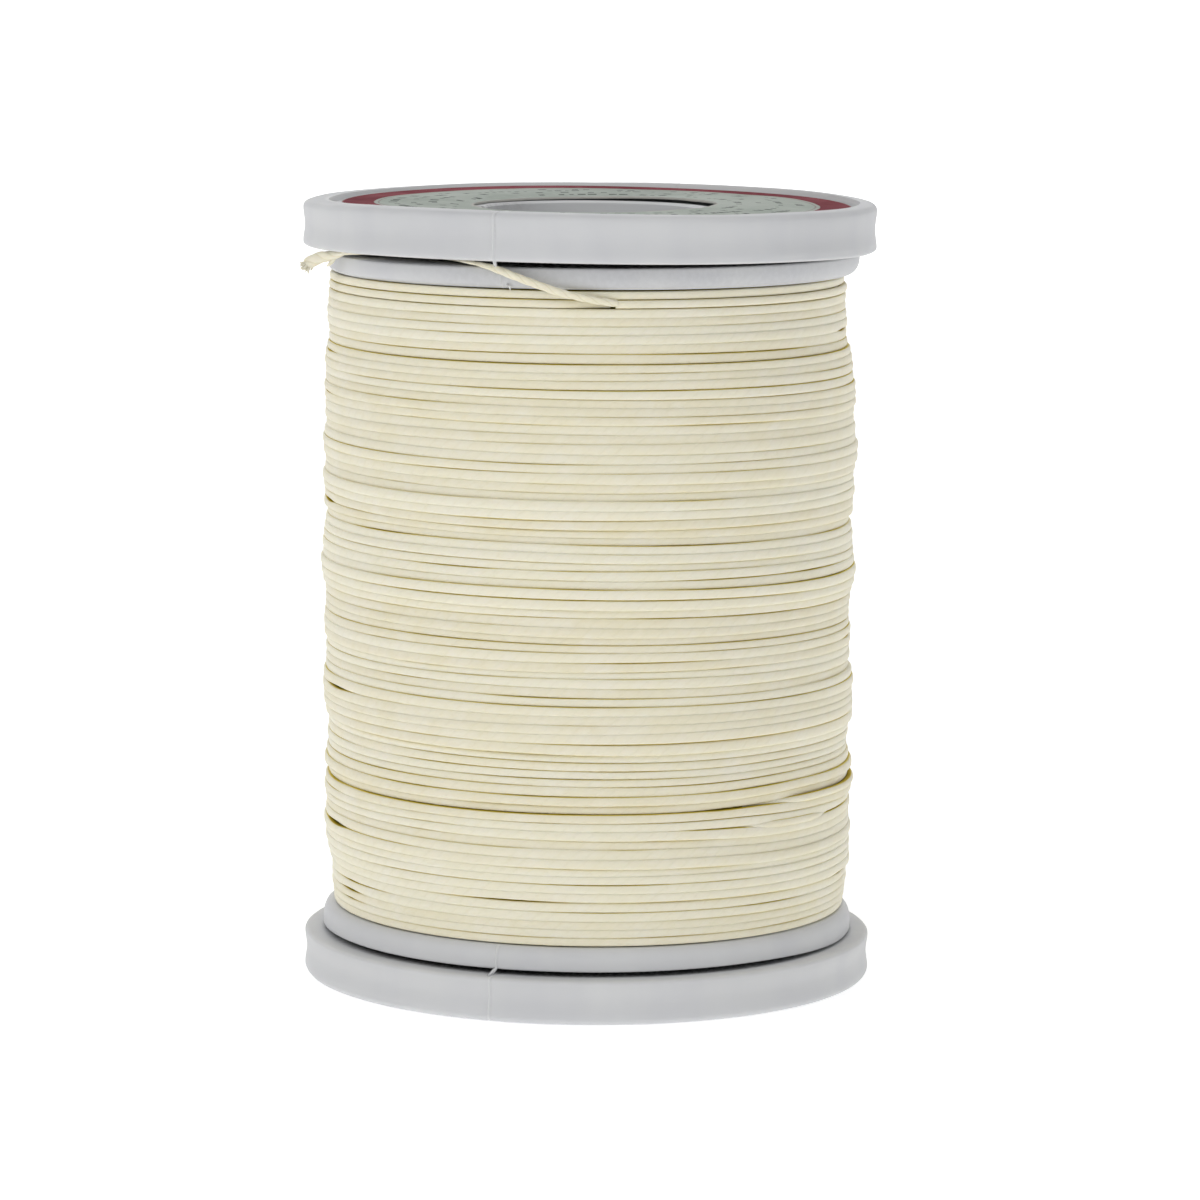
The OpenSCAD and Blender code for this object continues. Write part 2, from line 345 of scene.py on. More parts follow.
def plastic_material():
    """Moulded grey plastic."""
    m = Shader("moulded_grey_plastic")
    coord = m.coord()
    cloud = m.noise(coord, scale=70.0, detail=3.0, rough=0.55)      # blotches of about 15 mm
    # flow marks, drawn out along the height
    flow = m.noise(coord, scale=260.0, detail=2.0, rough=0.5, stretch=(1.0, 1.0, 0.25))
    grain = m.noise(coord, scale=5200.0, detail=2.0, rough=0.6)     # satin mould surface
    base = m.mix(m.ramp(cloud, span=(0.3, 0.7)), srgb(206, 207, 209), srgb(213, 214, 215))
    base = m.mix(m.ramp(flow, span=(0.35, 0.7), to=(0.0, 0.35)), base, srgb(199, 200, 205))
    # a few dark specks under the surface
    cells = m.node("ShaderNodeTexVoronoi", {"Vector": coord, "Scale": 150.0, "Randomness": 1.0},
                   feature="F1")
    pick = m.node("ShaderNodeTexWhiteNoise", {"Vector": cells.outputs["Color"]},
                  noise_dimensions="3D").outputs["Value"]
    speck = m.times(m.ramp(cells.outputs["Distance"], span=(0.018, 0.03), to=(1.0, 0.0)),
                    m.math("GREATER_THAN", pick, 0.955))
    base = m.mix(m.times(speck, 0.65), base, srgb(120, 118, 118))
    # paler where handling wears the flanges' outer corners; the same mask paints highlight on the
    # crests, a pale line along the seams, and painted light on the recess strip by the label and up
    # the bore
    base = m.mix(m.times(m.attr("edge"), 0.75), base, srgb(230, 231, 231))
    # painted shade in the slits and on the top disc under the flange, and darker mottled patches in
    # the bore's mouth and beside the front parting line
    mottle = m.ramp(m.noise(coord, scale=2600.0, detail=3.0, rough=0.6),
                    span=(0.3, 0.65), to=(0.45, 1.0))
    base = m.mix(m.times(m.attr("dirt"), mottle), base, srgb(58, 54, 50))
    # hair-fine scuffs cross the faces
    scuff = m.noise(coord, scale=900.0, detail=1.0, rough=0.5, stretch=(1.0, 1.0, 7.0))
    m.surface({
        "Base Color": base,
        "Roughness": m.math("ADD", m.ramp(cloud, span=(0.2, 0.8), to=(0.46, 0.56)),
                            m.ramp(scuff, span=(0.6, 0.8), to=(0.0, 0.1))),
        "IOR": 1.49,
        "Specular IOR Level": 0.12,
        "Subsurface Weight": 0.08,
        "Subsurface Radius": (1.0, 0.95, 0.9),
        "Subsurface Scale": 0.0008,
    })
    m.bumps([(grain, 0.25, 0.00002), (flow, 0.3, 0.00008), (scuff, 0.12, 0.00003)])
    return m.material


def cord_material(name, groove_shade):
    """Waxed cord; groove_shade is how much the hollows between plies darken."""
    m = Shader(name)
    coord = m.coord()
    crevice = m.attr("crev")         # 0 on the crown of a turn, 1 down in the crevice
    tone = m.attr("tone")            # slow colour drift from turn to turn
    lay = m.attr("lay")              # runs round the three plies, one unit for each ply
    wax = m.noise(coord, scale=420.0, detail=3.0, rough=0.6)
    fine = m.noise(coord, scale=4200.0, detail=2.0, rough=0.6)
    base = m.mix(m.ramp(tone, span=(0.0, 1.0)), srgb(240, 235, 213), srgb(235, 228, 202))
    base = m.mix(m.ramp(wax, span=(0.35, 0.75), to=(0.0, 0.45)), base, srgb(241, 237, 224))
    base = m.mix(m.ramp(fine, span=(0.55, 0.8), to=(0.0, 0.2)), base, srgb(226, 218, 190))
    # painted shade: the hollow between two plies is a little darker
    from_middle = m.math("ABSOLUTE", m.math("SUBTRACT", m.math("FRACT", lay), 0.5))
    groove = m.ramp(from_middle, span=(0.36, 0.5))
    base = m.mix(m.times(groove, groove_shade), base, srgb(214, 205, 166))
    # painted shade, tan then olive, down in the crevices
    base = m.mix(m.ramp(crevice, span=(0.02, 0.6)), base, srgb(212, 192, 76))
    base = m.mix(m.ramp(crevice, span=(0.55, 1.2)), base, srgb(178, 154, 30))
    m.surface({
        "Base Color": base,
        "Roughness": m.math("ADD", m.ramp(wax, span=(0.3, 0.8), to=(0.44, 0.58)),
                            m.times(crevice, 0.2)),
        "IOR": 1.44,
        "Specular IOR Level": 0.14,
        "Subsurface Weight": 0.2,
        "Subsurface Radius": (1.0, 0.85, 0.6),
        "Subsurface Scale": 0.0003,
    })
    # fibres run along each ply: stripes across the lay phase
    fibres = m.node("ShaderNodeTexNoise", {"W": m.times(lay, 9.0), "Scale": 1.0, "Detail": 1.0},
                    noise_dimensions="1D").outputs["Fac"]
    m.bumps([(fibres, 0.22, 0.00003), (groove, 0.35, -0.00004), (fine, 0.15, 0.00002)])
    return m.material


# rows of printed ticks: inner radius, outer radius, cells round the ring, share of cells inked
TICK_ROWS = ((10.45, 11.1, 84, 0.45), (12.05, 12.75, 76, 0.34),
             (13.65, 14.25, 128, 0.5), (15.0, 15.7, 110, 0.40))


def tick_marks(m, angle, radius, seed):
    """Rows of plain ticks of varied length, like a scale."""
    marks = None
    for k, (inner, outer, count, share) in enumerate(TICK_ROWS):
        cell = m.times(m.math("ADD", angle, math.pi), count / (2 * math.pi))
        index = m.math("FLOOR", cell)
        across = m.math("FRACT", cell)
        pick = m.white_noise(m.math("ADD", index, 37.0 * k + seed))
        size = m.white_noise(m.math("ADD", index, 91.0 * k + 11.0 + seed))
        half_width = m.math("MULTIPLY_ADD", size, 0.26, 0.17)
        bar = m.math("LESS_THAN", m.math("ABSOLUTE", m.math("SUBTRACT", across, 0.5)), half_width)
        inked = m.math("LESS_THAN", pick, share)
        tip = m.math("MULTIPLY_ADD", size, 0.5 * (outer - inner), 0.5 * (inner + outer))
        row = m.times(m.times(bar, inked), m.between(radius, inner, tip))
        marks = row if marks is None else m.math("MAXIMUM", marks, row)
    return marks


def label_material(name, seed, shift):
    """Printed paper; shift is how far the label is off centre, along X."""
    m = Shader(name)
    coord = m.coord()
    axes = m.node("ShaderNodeSeparateXYZ", {0: coord})
    x = m.times(axes.outputs["X"], 1000.0)
    y = m.times(axes.outputs["Y"], 1000.0)
    # the hole is shifted by half as much as the print
    hole_radius = m.length(m.math("SUBTRACT", x, 0.5 * shift), y)
    print_x = m.math("SUBTRACT", x, shift)
    print_y = m.math("SUBTRACT", y, 0.0)
    print_radius = m.length(print_x, print_y)
    angle = m.math("ARCTAN2", print_y, print_x)
    fibre = m.noise(coord, scale=1500.0, detail=4.0, rough=0.65)
    blot = m.noise(coord, scale=160.0, detail=3.0, rough=0.6)
    wobble = m.noise(coord, scale=700.0, detail=2.0, rough=0.5)
    wobble = m.times(m.math("SUBTRACT", wobble, 0.5), 0.12)
    radius = m.math("ADD", print_radius, wobble)
    paper = m.mix(m.ramp(blot, span=(0.3, 0.7)), srgb(180, 187, 179), srgb(166, 174, 166))
    paper = m.mix(m.ramp(fibre, span=(0.45, 0.75), to=(0.0, 0.5)), paper, srgb(192, 198, 190))
    ink = m.times(tick_marks(m, angle, radius, seed),
                  m.ramp(fibre, span=(0.3, 0.62), to=(1.0, 0.75)))
    colour = m.mix(ink, paper, srgb(58, 64, 60))
    # a hairline ring, then the wine-coloured band round the rim
    hairline = m.between(radius, 16.36, 16.5)
    colour = m.mix(m.times(hairline, 0.6), colour, srgb(140, 120, 118))
    wine = m.mix(m.ramp(blot, span=(0.3, 0.7)), srgb(136, 50, 62), srgb(112, 34, 46))
    wine = m.mix(m.ramp(fibre, span=(0.5, 0.8), to=(0.0, 0.4)), wine, srgb(152, 72, 82))
    colour = m.mix(m.ramp(radius, span=(16.72, 16.82)), colour, wine)
    # bare, worn paper at the cut edges
    worn = m.math("MAXIMUM", m.ramp(m.math("ADD", hole_radius, wobble), span=(9.42, 9.12)),
                  m.ramp(radius, span=(19.05, 19.2)))
    colour = m.mix(m.times(worn, 0.75), colour, srgb(196, 192, 186))
    m.surface({
        "Base Color": colour,
        "Roughness": m.ramp(blot, span=(0.2, 0.8), to=(0.55, 0.7)),
        "IOR": 1.45,
        "Specular IOR Level": 0.03,
    })
    m.bumps([(fibre, 0.3, 0.00003), (blot, 0.3, 0.0001)])
    return m.material


PLASTIC = plastic_material()
CORD = cord_material("waxed_cord_wound", groove_shade=0.06)
CORD_LOOSE = cord_material("waxed_cord_loose", groove_shade=0.35)
LABEL_TOP = label_material("label_print_top", seed=3.0, shift=LABEL_SHIFT)
LABEL_BOTTOM = label_material("label_print_bottom", seed=57.0, shift=0.0)


# ----------------------------------------------------------------------------
# The moulding: its outline
# ----------------------------------------------------------------------------
def half_outside():
    """The bottom flange, slit and disc, from the crest in to the barrel."""
    corner, lip = 0.48, 0.26         # rounding at the flange's outer and inner faces
    z0, z1 = 0.06 + corner, FLANGE_T - lip
    points = [(CREST_R - 0.3, 0.0), (CREST_R - 0.15, 0.0), (CREST_R + 0.1, 0.0),
              (CREST_R + 0.3, 0.008)]
    points += arc((FLANGE_R - corner, z0), corner, corner, -80, 0, 14)
    # the rim is slightly hollow
    points += [(FLANGE_R - 0.13 * math.sin(math.pi * u) ** 2, z0 + (z1 - z0) * u)
               for u in np.linspace(0, 1, 17)[1:-1]]
    points += arc((FLANGE_R - lip - 0.1, z1), lip + 0.1, lip, 0, 90, 8)
    points += [(DISC_R + 0.2, FLANGE_T + 0.004), (DISC_R - 0.4, FLANGE_T),
               (SLIT_R + 0.08, FLANGE_T), (SLIT_R, FLANGE_T + 0.08), (SLIT_R, DISC_Z - 0.08),
               (SLIT_R + 0.08, DISC_Z), (DISC_R - 0.6, DISC_Z)]
    points += arc((DISC_R - 0.16, DISC_Z + 0.16), 0.16, 0.16, -90, 0, 5)
    # the disc's rim is a squarish quarter round
    for t in np.radians(np.linspace(0, 88, 17)):
        points.append((DISC_R - 1.0 + 1.0 * math.cos(t) ** 0.84,
                       DISC_Z + 0.25 + (DISC_T - 0.25) * math.sin(t) ** 0.84))
    points += [(r, WIND_LOW) for r in (18.0, 16.5, 15.0, 13.8)]
    points += arc((BARREL_R + 0.6, WIND_LOW + 0.6), 0.6, 0.6, 270, 180, 5)
    return points


def half_cavity():
    """From the tube near mid height, down the cavity and out across the recess."""
    return [(TUBE_R, HEIGHT / 2 - 0.75), (10.3, HEIGHT / 2 - 0.75), (CAVITY_R, HEIGHT / 2 - 0.75),
            (CAVITY_R, HEIGHT / 2 - 12), (CAVITY_R, 6.0), (CAVITY_R, 0.72),
            (CAVITY_R + 0.1, 0.6), (13.3, 0.564), (15.3, 0.526), (17.3, 0.488), (18.6, 0.464),
            (RECESS_R - 0.12, 0.45), (RECESS_R, 0.40), (RECESS_R + 0.03, 0.2),
            (RECESS_R + 0.07, 0.06)]


def flip(points):
    return [(r, HEIGHT - z) for r, z in reversed(points)]


BORE = [(TUBE_R, HEIGHT - 0.92), (TUBE_R - 0.1, HEIGHT - 0.8), (BORE_R + 0.15, HEIGHT - 0.8),
        (BORE_R, HEIGHT - 0.95), (BORE_R, HEIGHT - 8), (BORE_R, HEIGHT / 2), (BORE_R, 8),
        (BORE_R, 0.95), (BORE_R + 0.15, 0.8), (TUBE_R - 0.1, 0.8), (TUBE_R, 0.92)]


def body_columns():
    """Angles round the axis: even, and close together at the two parting lines."""
    columns = list(np.arange(0, 360, 1.25))
    for seam in (SEAM % 360, (SEAM + 180) % 360):
        columns = [a for a in columns if abs(angle_off(a, seam)) > 0.85]
        for offset in (0.03, 0.1, 0.18, 0.27, 0.45, 0.8):
            columns += [seam - offset, seam + offset]
    return sorted(a % 360 for a in columns)


# ----------------------------------------------------------------------------
# The moulding: its bends and wear
# ----------------------------------------------------------------------------
# how far the top flange stands out of its plane: angle, height
LEAN = [(-180, -0.10), (-160, -0.08), (-145, -0.12), (-131, -0.17), (-116, -0.21), (-95, -0.26),
        (-80, -0.24), (-65, -0.15), (-44, -0.01), (-26, 0.03), (-12, -0.01), (0, -0.07),
        (12, -0.14), (25, -0.22), (43, -0.30), (63, -0.42), (80, -0.44), (100, -0.38),
        (120, -0.29), (150, -0.21), (180, -0.10)]
# how much taller the rim's upper part is: angle, height
RISE = [(-180, 0.0), (-100, 0.0), (-75, 0.05), (-55, 0.12), (-20, 0.12), (0, 0.14), (30, 0.17),
        (60, 0.24), (85, 0.24), (100, 0.20), (120, 0.17), (150, 0.15), (168, 0.12), (180, 0.0)]

window = np.hanning(19) / np.hanning(19).sum()
lean_steps = np.tile(np.interp(np.arange(-180, 180, 1.0), *np.array(LEAN).T), 3)
lean_wave = np.convolve(lean_steps, window, "same")[360:721]

WAVE_STEPS = 3600
wave_a = loop_noise(WAVE_STEPS, 45, seed=11)
wave_b = loop_noise(WAVE_STEPS, 14, seed=12)
wave_c = loop_noise(WAVE_STEPS, 60, seed=13)


def wave_at(wave, angle, offset=0):
    return wave[(np.round((angle % 360) * 10).astype(int) + offset) % WAVE_STEPS]


def flange_lean(angle):
    """Height of the top flange out of its plane; it is bent over the cord's tail."""
    return np.interp(angle_off(angle, 0), np.arange(-180, 181, 1.0), lean_wave)


def lean_share(r):
    return ease(11.5, 19.6, r)


def top_flange_shift(r, z, angle):
    side = np.sin(np.radians(angle))
    flange = z > TOP_FLANGE_Z - 0.01
    # it leans to the right and lifts over the tail
    share = np.where(z > TOP_FLANGE_Z + 0.4,
                     np.maximum(lean_share(r), ease(FLANGE_R - 0.75, FLANGE_R - 0.3, r)),
                     np.clip((r - SLIT_R) / 4.45, 0, 1) ** 3)
    share = np.where(r < TUBE_R + 0.2, 0, share)
    dz = np.where(flange, flange_lean(angle) * share, 0)
    rise = np.where(r < CREST_R - 0.2, ease(HEIGHT - 0.42, HEIGHT - 0.1, z),
                    ease(HEIGHT - 2.4, HEIGHT - 0.9, z)) * (r > RECESS_R - 0.02)
    dz += np.interp(angle_off(angle, 0), *np.array(RISE).T) * rise
    # the lip over the tail is a trifle thicker
    lip = flange & (z < TOP_FLANGE_Z + 0.45)
    dz += np.where(lip, -0.08 * bell(angle_off(angle, -36), 42)
                   * ease(SLIT_R + 1.5, FLANGE_R - 0.6, r), 0)
    # the recess in the top face is a little off centre, and the flange the other way
    face = (z > HEIGHT - 0.9) & (r > 12.0)
    dr = np.where(face, 0.15 * side * ease(12.5, 18.0, r)
                  * (1 - ease(CREST_R + 0.35, FLANGE_R - 0.1, r)), 0)
    dr += np.where(flange, (0.05 - 0.16 * side) * ease(CREST_R + 0.2, FLANGE_R - 0.2, r), 0)
    return dr, dz


def disc_shift(r, z, angle):
    side = np.sin(np.radians(angle))
    depth = np.clip((r - SLIT_R) / DISC_DEPTH, 0, 1) ** 2
    # the top disc is pressed down a little where the cord passes, and off centre
    disc = (z <= TOP_FLANGE_Z - 0.01) & (z > WIND_HIGH - 0.01) & (r > SLIT_R)
    dz = np.where(disc, (-0.03 - 0.22 * bell(angle_off(angle, -62), 35)) * depth, 0)
    dr = np.where(disc, (-0.13 + 0.16 * side) * ease(SLIT_R + 0.6, DISC_R - 0.5, r), 0)
    # its rounded rim is fuller at the left
    rounded = (z < TOP_FLANGE_Z - SLIT - 0.02) & (z > WIND_HIGH - 0.01) & (r > DISC_R - 1.05)
    dr += np.where(rounded, 0.85 * (DISC_R - r) * bell(angle_off(angle, -88), 30)
                   * ease(WIND_HIGH - 0.05, WIND_HIGH + 0.42, z), 0)
    # the bottom disc's rim sags towards the bottom flange
    sagging = (z > FLANGE_T + 0.1) & (z < DISC_Z + 0.3) & (r > SLIT_R + 0.2)
    from_front = np.abs(angle_off(angle, 0))
    sag = (0.13 + 0.27 * ease(34, 74, from_front * (side > 0))
           + 0.16 * ease(66, 88, from_front * (side < 0)))
    dz -= np.where(sagging, sag * depth, 0)
    return dr, dz


def uneven_shift(r, z, angle):
    """Slow moulding unevenness of the rims and the top face."""
    dr = ease(DISC_R - 1.4, DISC_R - 0.2, r) * (
        0.010 * wave_at(wave_a, angle) + 0.004 * wave_at(wave_b, angle, 700))
    face = (z > HEIGHT - 0.75) & (r > CAVITY_R)
    dz = np.where(face, 0.010 * wave_at(wave_c, angle) * ease(13, 17, r), 0)
    return dr, dz


def seam_shift(r, z, angle):
    """Parting lines: a fine raised line with a small step between the two halves."""
    dr, dz = 0, 0
    for seam, strength in ((SEAM, 1.0), (SEAM + 180, 0.8)):
        off = arc_off(angle, seam, r)
        line = bell(off, 0.06)
        step = 0.022 * bell(off, 1.1) * np.where(off < 0, 1.0, 0.25)
        dr = dr + (0.075 * line - step) * strength * ease(DISC_R - 1.1, DISC_R - 0.5, r)
        dz = dz + 0.02 * line * strength * ((z > HEIGHT - 0.7) & (r > RECESS_R))
    return dr, dz


def body_deform(r, z, angle):
    shifts = [shift(r, z, angle)
              for shift in (top_flange_shift, disc_shift, uneven_shift, seam_shift)]
    return r + sum(dr for dr, dz in shifts), z + sum(dz for dr, dz in shifts)


def wear_and_painted_light(r, z, angle):
    """Paler skin: wear on the flanges' outer corners, painted highlight on the crests, a pale line
    along the seams, and painted light on the recess strip by the label and up the bore.
    """
    depth = np.minimum(z, HEIGHT - z)
    edge = bell(r - FLANGE_R + 0.12, 0.22) * (
        0.7 * bell(depth - 0.25, 0.2) + 0.8 * bell(depth - (FLANGE_T - 0.1), 0.18))
    # painted highlight along the crests
    edge += 0.8 * bell(depth, 0.15) * (r > CREST_R - 0.4) * (r < CREST_R + 0.7)
    for seam, strength in ((SEAM, 1.0), (SEAM + 180, 0.7)):
        line = bell(arc_off(angle, seam, r), 0.075) * (r > DISC_R - 1.1)
        edge = edge * 0.62 + 1.2 * strength * line
    edge = np.clip(edge * (0.75 + 0.25 * wave_at(wave_b, angle, 100)), 0, 1)
    # painted light on the recess floor and wall between the label and the crest
    edge = np.maximum(edge, 0.85 * (r > 18.9) * (r < CREST_R - 0.2) * (depth < 0.7))
    # painted light up the inside of the bore, towards the top
    return np.maximum(edge, 0.8 * (r < BORE_R + 0.3) * ease(HEIGHT - 16, HEIGHT - 5, z))


# Painted shade in the slits and under the top flange, and darker patches in the bore's mouth and
# beside the front parting line.
def painted_shade_and_dark_patches(r, z, angle):
    depth = np.minimum(z, HEIGHT - z)
    # painted shade down in the slits
    dirt = (0.9 * ease(DISC_R - 0.05, DISC_R - 0.7, r) * (r > SLIT_R - 0.2)
            * (np.abs(depth - FLANGE_T - SLIT / 2) < SLIT * 0.6))
    # darker inside the mouth of the bore, on the left
    mouth = (r < TUBE_R + 0.05) * (r > BORE_R - 0.05) * (z > HEIGHT - 1.6)
    dirt = dirt + (0.42 + 0.16 * wave_at(wave_b, angle)) * bell(angle_off(angle, -96), 34) * mouth
    # a darker band beside the front parting line
    dirt = dirt + (0.20 * bell(arc_off(angle, SEAM, r) - 0.15, 0.05) * (r > DISC_R - 0.5)
                   * (0.35 + 0.65 * ease(HEIGHT - FLANGE_T * 0.7, HEIGHT - 0.9, z)))
    # painted shadow of the flange on the top disc
    disc = ((z > WIND_HIGH - 0.05) * (z < TOP_FLANGE_Z - SLIT + 0.05) * (r > DISC_R - 1.2))
    dirt = dirt + 0.10 * ease(70, 30, np.abs(angle_off(angle, 12))) * disc
    return np.clip(dirt, 0, 1)


def body_attributes(r, z, angle):
    return {"edge": wear_and_painted_light(r, z, angle), "dirt": painted_shade_and_dark_patches(r, z, angle)}


outline = (half_outside() + flip(half_outside()) + flip(half_cavity()) + BORE + half_cavity())
body = lathe("spool_moulding", subdivide(outline, 2.6), body_columns(), PLASTIC,
             body_attributes, body_deform)
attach(body, "spool")
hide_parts("spool_body")
body.data.set_sharp_from_angle(angle=math.radians(38))


# ----------------------------------------------------------------------------
# Flash left by the mould at the front parting line
# ----------------------------------------------------------------------------
def flash_fin(name, root, tip, thickness):
    """A thin wedge between two edges, each a list of (angle, radius, height)."""
    def moved(edge, distance):
        edge = np.array(edge, float)
        turn = np.radians(edge[:, 0])
        sideways = np.stack([np.cos(turn), np.sin(turn), 0 * turn], -1)
        return polar(*edge.T) + sideways * distance
    n = len(root)
    points = np.concatenate([moved(root, -thickness / 2), moved(tip, -thickness * 0.22),
                             moved(tip, thickness * 0.22), moved(root, thickness / 2)])
    ends = [(0, 3 * n, 2 * n, n), (n - 1, 2 * n - 1, 3 * n - 1, 4 * n - 1)]
    ob = build(name, points, np.concatenate([grid_quads(4, n, True, False), ends]), PLASTIC,
               attrs={"edge": np.full(4 * n, 0.7), "dirt": np.zeros(4 * n)})
    face_outward(ob)
    return ob


lip_z = TOP_FLANGE_Z + float(flange_lean(SEAM))
FLASH = [
    # a tag hanging from the lip of the top flange, in front of the tail
    ("flash_top_tag",
     [(SEAM + 0.1, FLANGE_R - 0.30, lip_z + 0.14), (SEAM, FLANGE_R - 0.16, lip_z + 0.16),
      (SEAM, FLANGE_R - 0.04, lip_z + 0.3)],
     [(SEAM + 0.35, FLANGE_R - 0.40, lip_z - 0.34), (SEAM + 0.3, FLANGE_R - 0.24, lip_z - 0.46),
      (SEAM + 0.15, FLANGE_R - 0.10, lip_z - 0.22)], 0.26),
    # a slanting fin across the bottom slit
    ("flash_bottom_fin",
     [(SEAM + 0.5, DISC_R - 0.06, DISC_Z + 0.06), (SEAM + 0.25, DISC_R + 0.06, DISC_Z + 0.02),
      (SEAM - 0.05, DISC_R + 0.16, DISC_Z - 0.06)],
     [(SEAM - 0.2, FLANGE_R - 0.95, FLANGE_T - 0.02), (SEAM - 0.5, FLANGE_R - 0.65, FLANGE_T - 0.02),
      (SEAM - 0.8, FLANGE_R - 0.38, FLANGE_T - 0.02)], 0.17),
    # a short burr under the top inner disc
    ("flash_disc_burr",
     [(SEAM + 1.6, DISC_R - 0.42, WIND_HIGH + 0.16), (SEAM + 1.5, DISC_R - 0.34, WIND_HIGH + 0.25),
      (SEAM + 1.4, DISC_R - 0.26, WIND_HIGH + 0.36)],
     [(SEAM + 2.1, DISC_R - 0.36, WIND_HIGH - 0.10), (SEAM + 2.2, DISC_R - 0.27, WIND_HIGH - 0.02),
      (SEAM + 2.1, DISC_R - 0.20, WIND_HIGH + 0.14)], 0.12),
]
for name, root, tip, thickness in FLASH:
    ob = flash_fin(name, root, tip, thickness)
    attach(ob, "spool")


# ----------------------------------------------------------------------------
# The labels
# ----------------------------------------------------------------------------
LABEL_INNER, LABEL_OUTER = 9.05, 19.2
LABEL_T = 0.18
LABEL_RINGS = np.concatenate([
    np.linspace(LABEL_INNER, 9.6, 6)[:-1], np.linspace(9.6, 11.6, 9)[:-1],
    np.linspace(11.6, 18.8, 28)[:-1], np.linspace(18.8, LABEL_OUTER, 5)])
LABEL_COLUMNS = 360
CLEARANCE = 0.012                    # the paper hovers this far over the plastic


def label_surface(top, seed, lift_angle):
    """Angle, radius and underside height of the label's points, as if on the top face."""
    angle, ring = np.meshgrid(np.arange(LABEL_COLUMNS, dtype=float), LABEL_RINGS, indexing="ij")
    tear = loop_noise(LABEL_COLUMNS, 1.6, seed)[:, None]
    slow_tear = loop_noise(LABEL_COLUMNS, 7, seed + 10)[:, None]
    wave = loop_noise(LABEL_COLUMNS, 10, seed + 20)[:, None]
    inner = ease(9.7, LABEL_INNER, ring)
    outer = ease(18.8, LABEL_OUTER, ring)
    r = ring + 0.07 * inner + inner * (0.035 * tear + 0.05 * slow_tear)
    r = r - outer * 0.02 * np.abs(tear)
    if top:
        r = r + LABEL_SHIFT * np.sin(np.radians(angle)) * (0.5 + 0.5 * ease(11.0, 17.5, ring))
    # rests on the sloping recess floor, and dips to the tube's end at the hole
    slope = (RECESS_R - np.clip(ring, CAVITY_R, RECESS_R)) / (RECESS_R - CAVITY_R)
    rest = HEIGHT - (0.45 + 0.15 * slope) + CLEARANCE
    lift = 0.24 * ((1 + np.cos(np.radians(angle - lift_angle))) / 2) ** 1.6
    hole = HEIGHT - 0.80 + CLEARANCE + lift + 0.012 * wave * inner
    hole_share = ease(11.9, 9.3, ring)
    z = rest * (1 - hole_share) + hole * hole_share
    z = z + 0.085 * ease(15.0, 19.2, ring)
    z = z + 0.02 * np.abs(wave) * ease(12.0, 13.5, ring) * ease(18.9, 17.0, ring)
    if top:
        z = z + flange_lean(angle) * lean_share(ring)
    return angle, r, z


def planar_uvs(ob, low_count):
    """The printed face on the left half of the map, the back on the right half."""
    me = ob.data
    layer = me.uv_layers.new(name=UV_NAME)
    points = np.empty(len(me.vertices) * 3, np.float32)
    me.vertices.foreach_get("co", points)
    points = points.reshape(-1, 3) / MM
    corners = np.empty(len(me.loops), np.int32)
    me.loops.foreach_get("vertex_index", corners)
    is_back = np.repeat(np.arange(len(me.polygons)) < low_count, 4)[:, None]
    centre = np.where(is_back, np.array([0.75, 0.5]), np.array([0.25, 0.5]))
    uv = points[corners][:, :2] / 19.5 * 0.235 + centre
    layer.data.foreach_set("uv", uv.astype(np.float32).ravel())


def label(name, top, material, node, seed, lift_angle):
    angle, r, low = label_surface(top, seed, lift_angle)
    points = np.concatenate([polar(angle, r, low).reshape(-1, 3),
                             polar(angle, r, low + LABEL_T).reshape(-1, 3)])
    n = len(LABEL_RINGS)
    upper = LABEL_COLUMNS * n        # index of the upper side's first point
    low_faces = grid_quads(LABEL_COLUMNS, n, True, False)
    high_faces = upper + grid_quads(LABEL_COLUMNS, n, True, False, flipped=True)
    a = np.arange(LABEL_COLUMNS) * n
    b = np.roll(a, -1)
    inner = np.stack([a, upper + a, upper + b, b], -1)
    outer = np.stack([a, b, upper + b, upper + a], -1) + n - 1
    if not top:
        # the same ring turned over, about the X axis
        points = points * np.array([1, -1, -1]) + np.array([0, 0, HEIGHT])
    ob = build(name, points, np.concatenate([low_faces, high_faces, inner, outer]), material)
    face_outward(ob)
    planar_uvs(ob, len(low_faces))
    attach(ob, "spool")
    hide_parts(node)


label("printed_label_top", True, LABEL_TOP, "top_label", seed=5, lift_angle=105.0)
label("printed_label_bottom", False, LABEL_BOTTOM, "bottom_label", seed=6, lift_angle=250.0)


# ----------------------------------------------------------------------------
# The wound cord: where its turns lie. Arrays hold a row for each turn, from the bottom up,
# and a column for each angle.
# ----------------------------------------------------------------------------
COLUMNS = 480                                      # rings of points in each turn
COLUMN_STEP = 360.0 / COLUMNS
START = 170.0                                      # turns begin at the back, run towards -angle
column_angle = START - np.arange(COLUMNS) * 360.0 / COLUMNS
HALF_OUT = 0.315                                   # radial half thickness of a settled turn

# the outside of the package: height, radius on the left, radius on the right
PACKAGE = [(5.0, 19.25, 19.45), (7.0, 19.42, 19.70), (8.5, 19.45, 19.82), (10.0, 19.62, 19.85),
           (11.6, 19.92, 19.93), (14.7, 20.02, 19.97), (17.8, 19.86, 19.82), (22.4, 20.08, 20.05),
           (25.5, 20.03, 19.80), (28.5, 20.10, 19.82), (31.6, 20.28, 20.06), (37.7, 20.12, 19.96),
           (43.8, 20.12, 20.05), (46.8, 20.18, 19.86), (48.3, 19.96, 19.46), (50.5, 19.90, 19.20),
           (52.4, 19.79, 19.02), (53.4, 19.72, 18.92)]


def package_sides(z):
    """Left and right radius of the package at a height."""
    height, left, right = np.array(PACKAGE).T
    return np.interp(z, height, left), np.interp(z, height, right)


cord_random = np.random.default_rng(77)


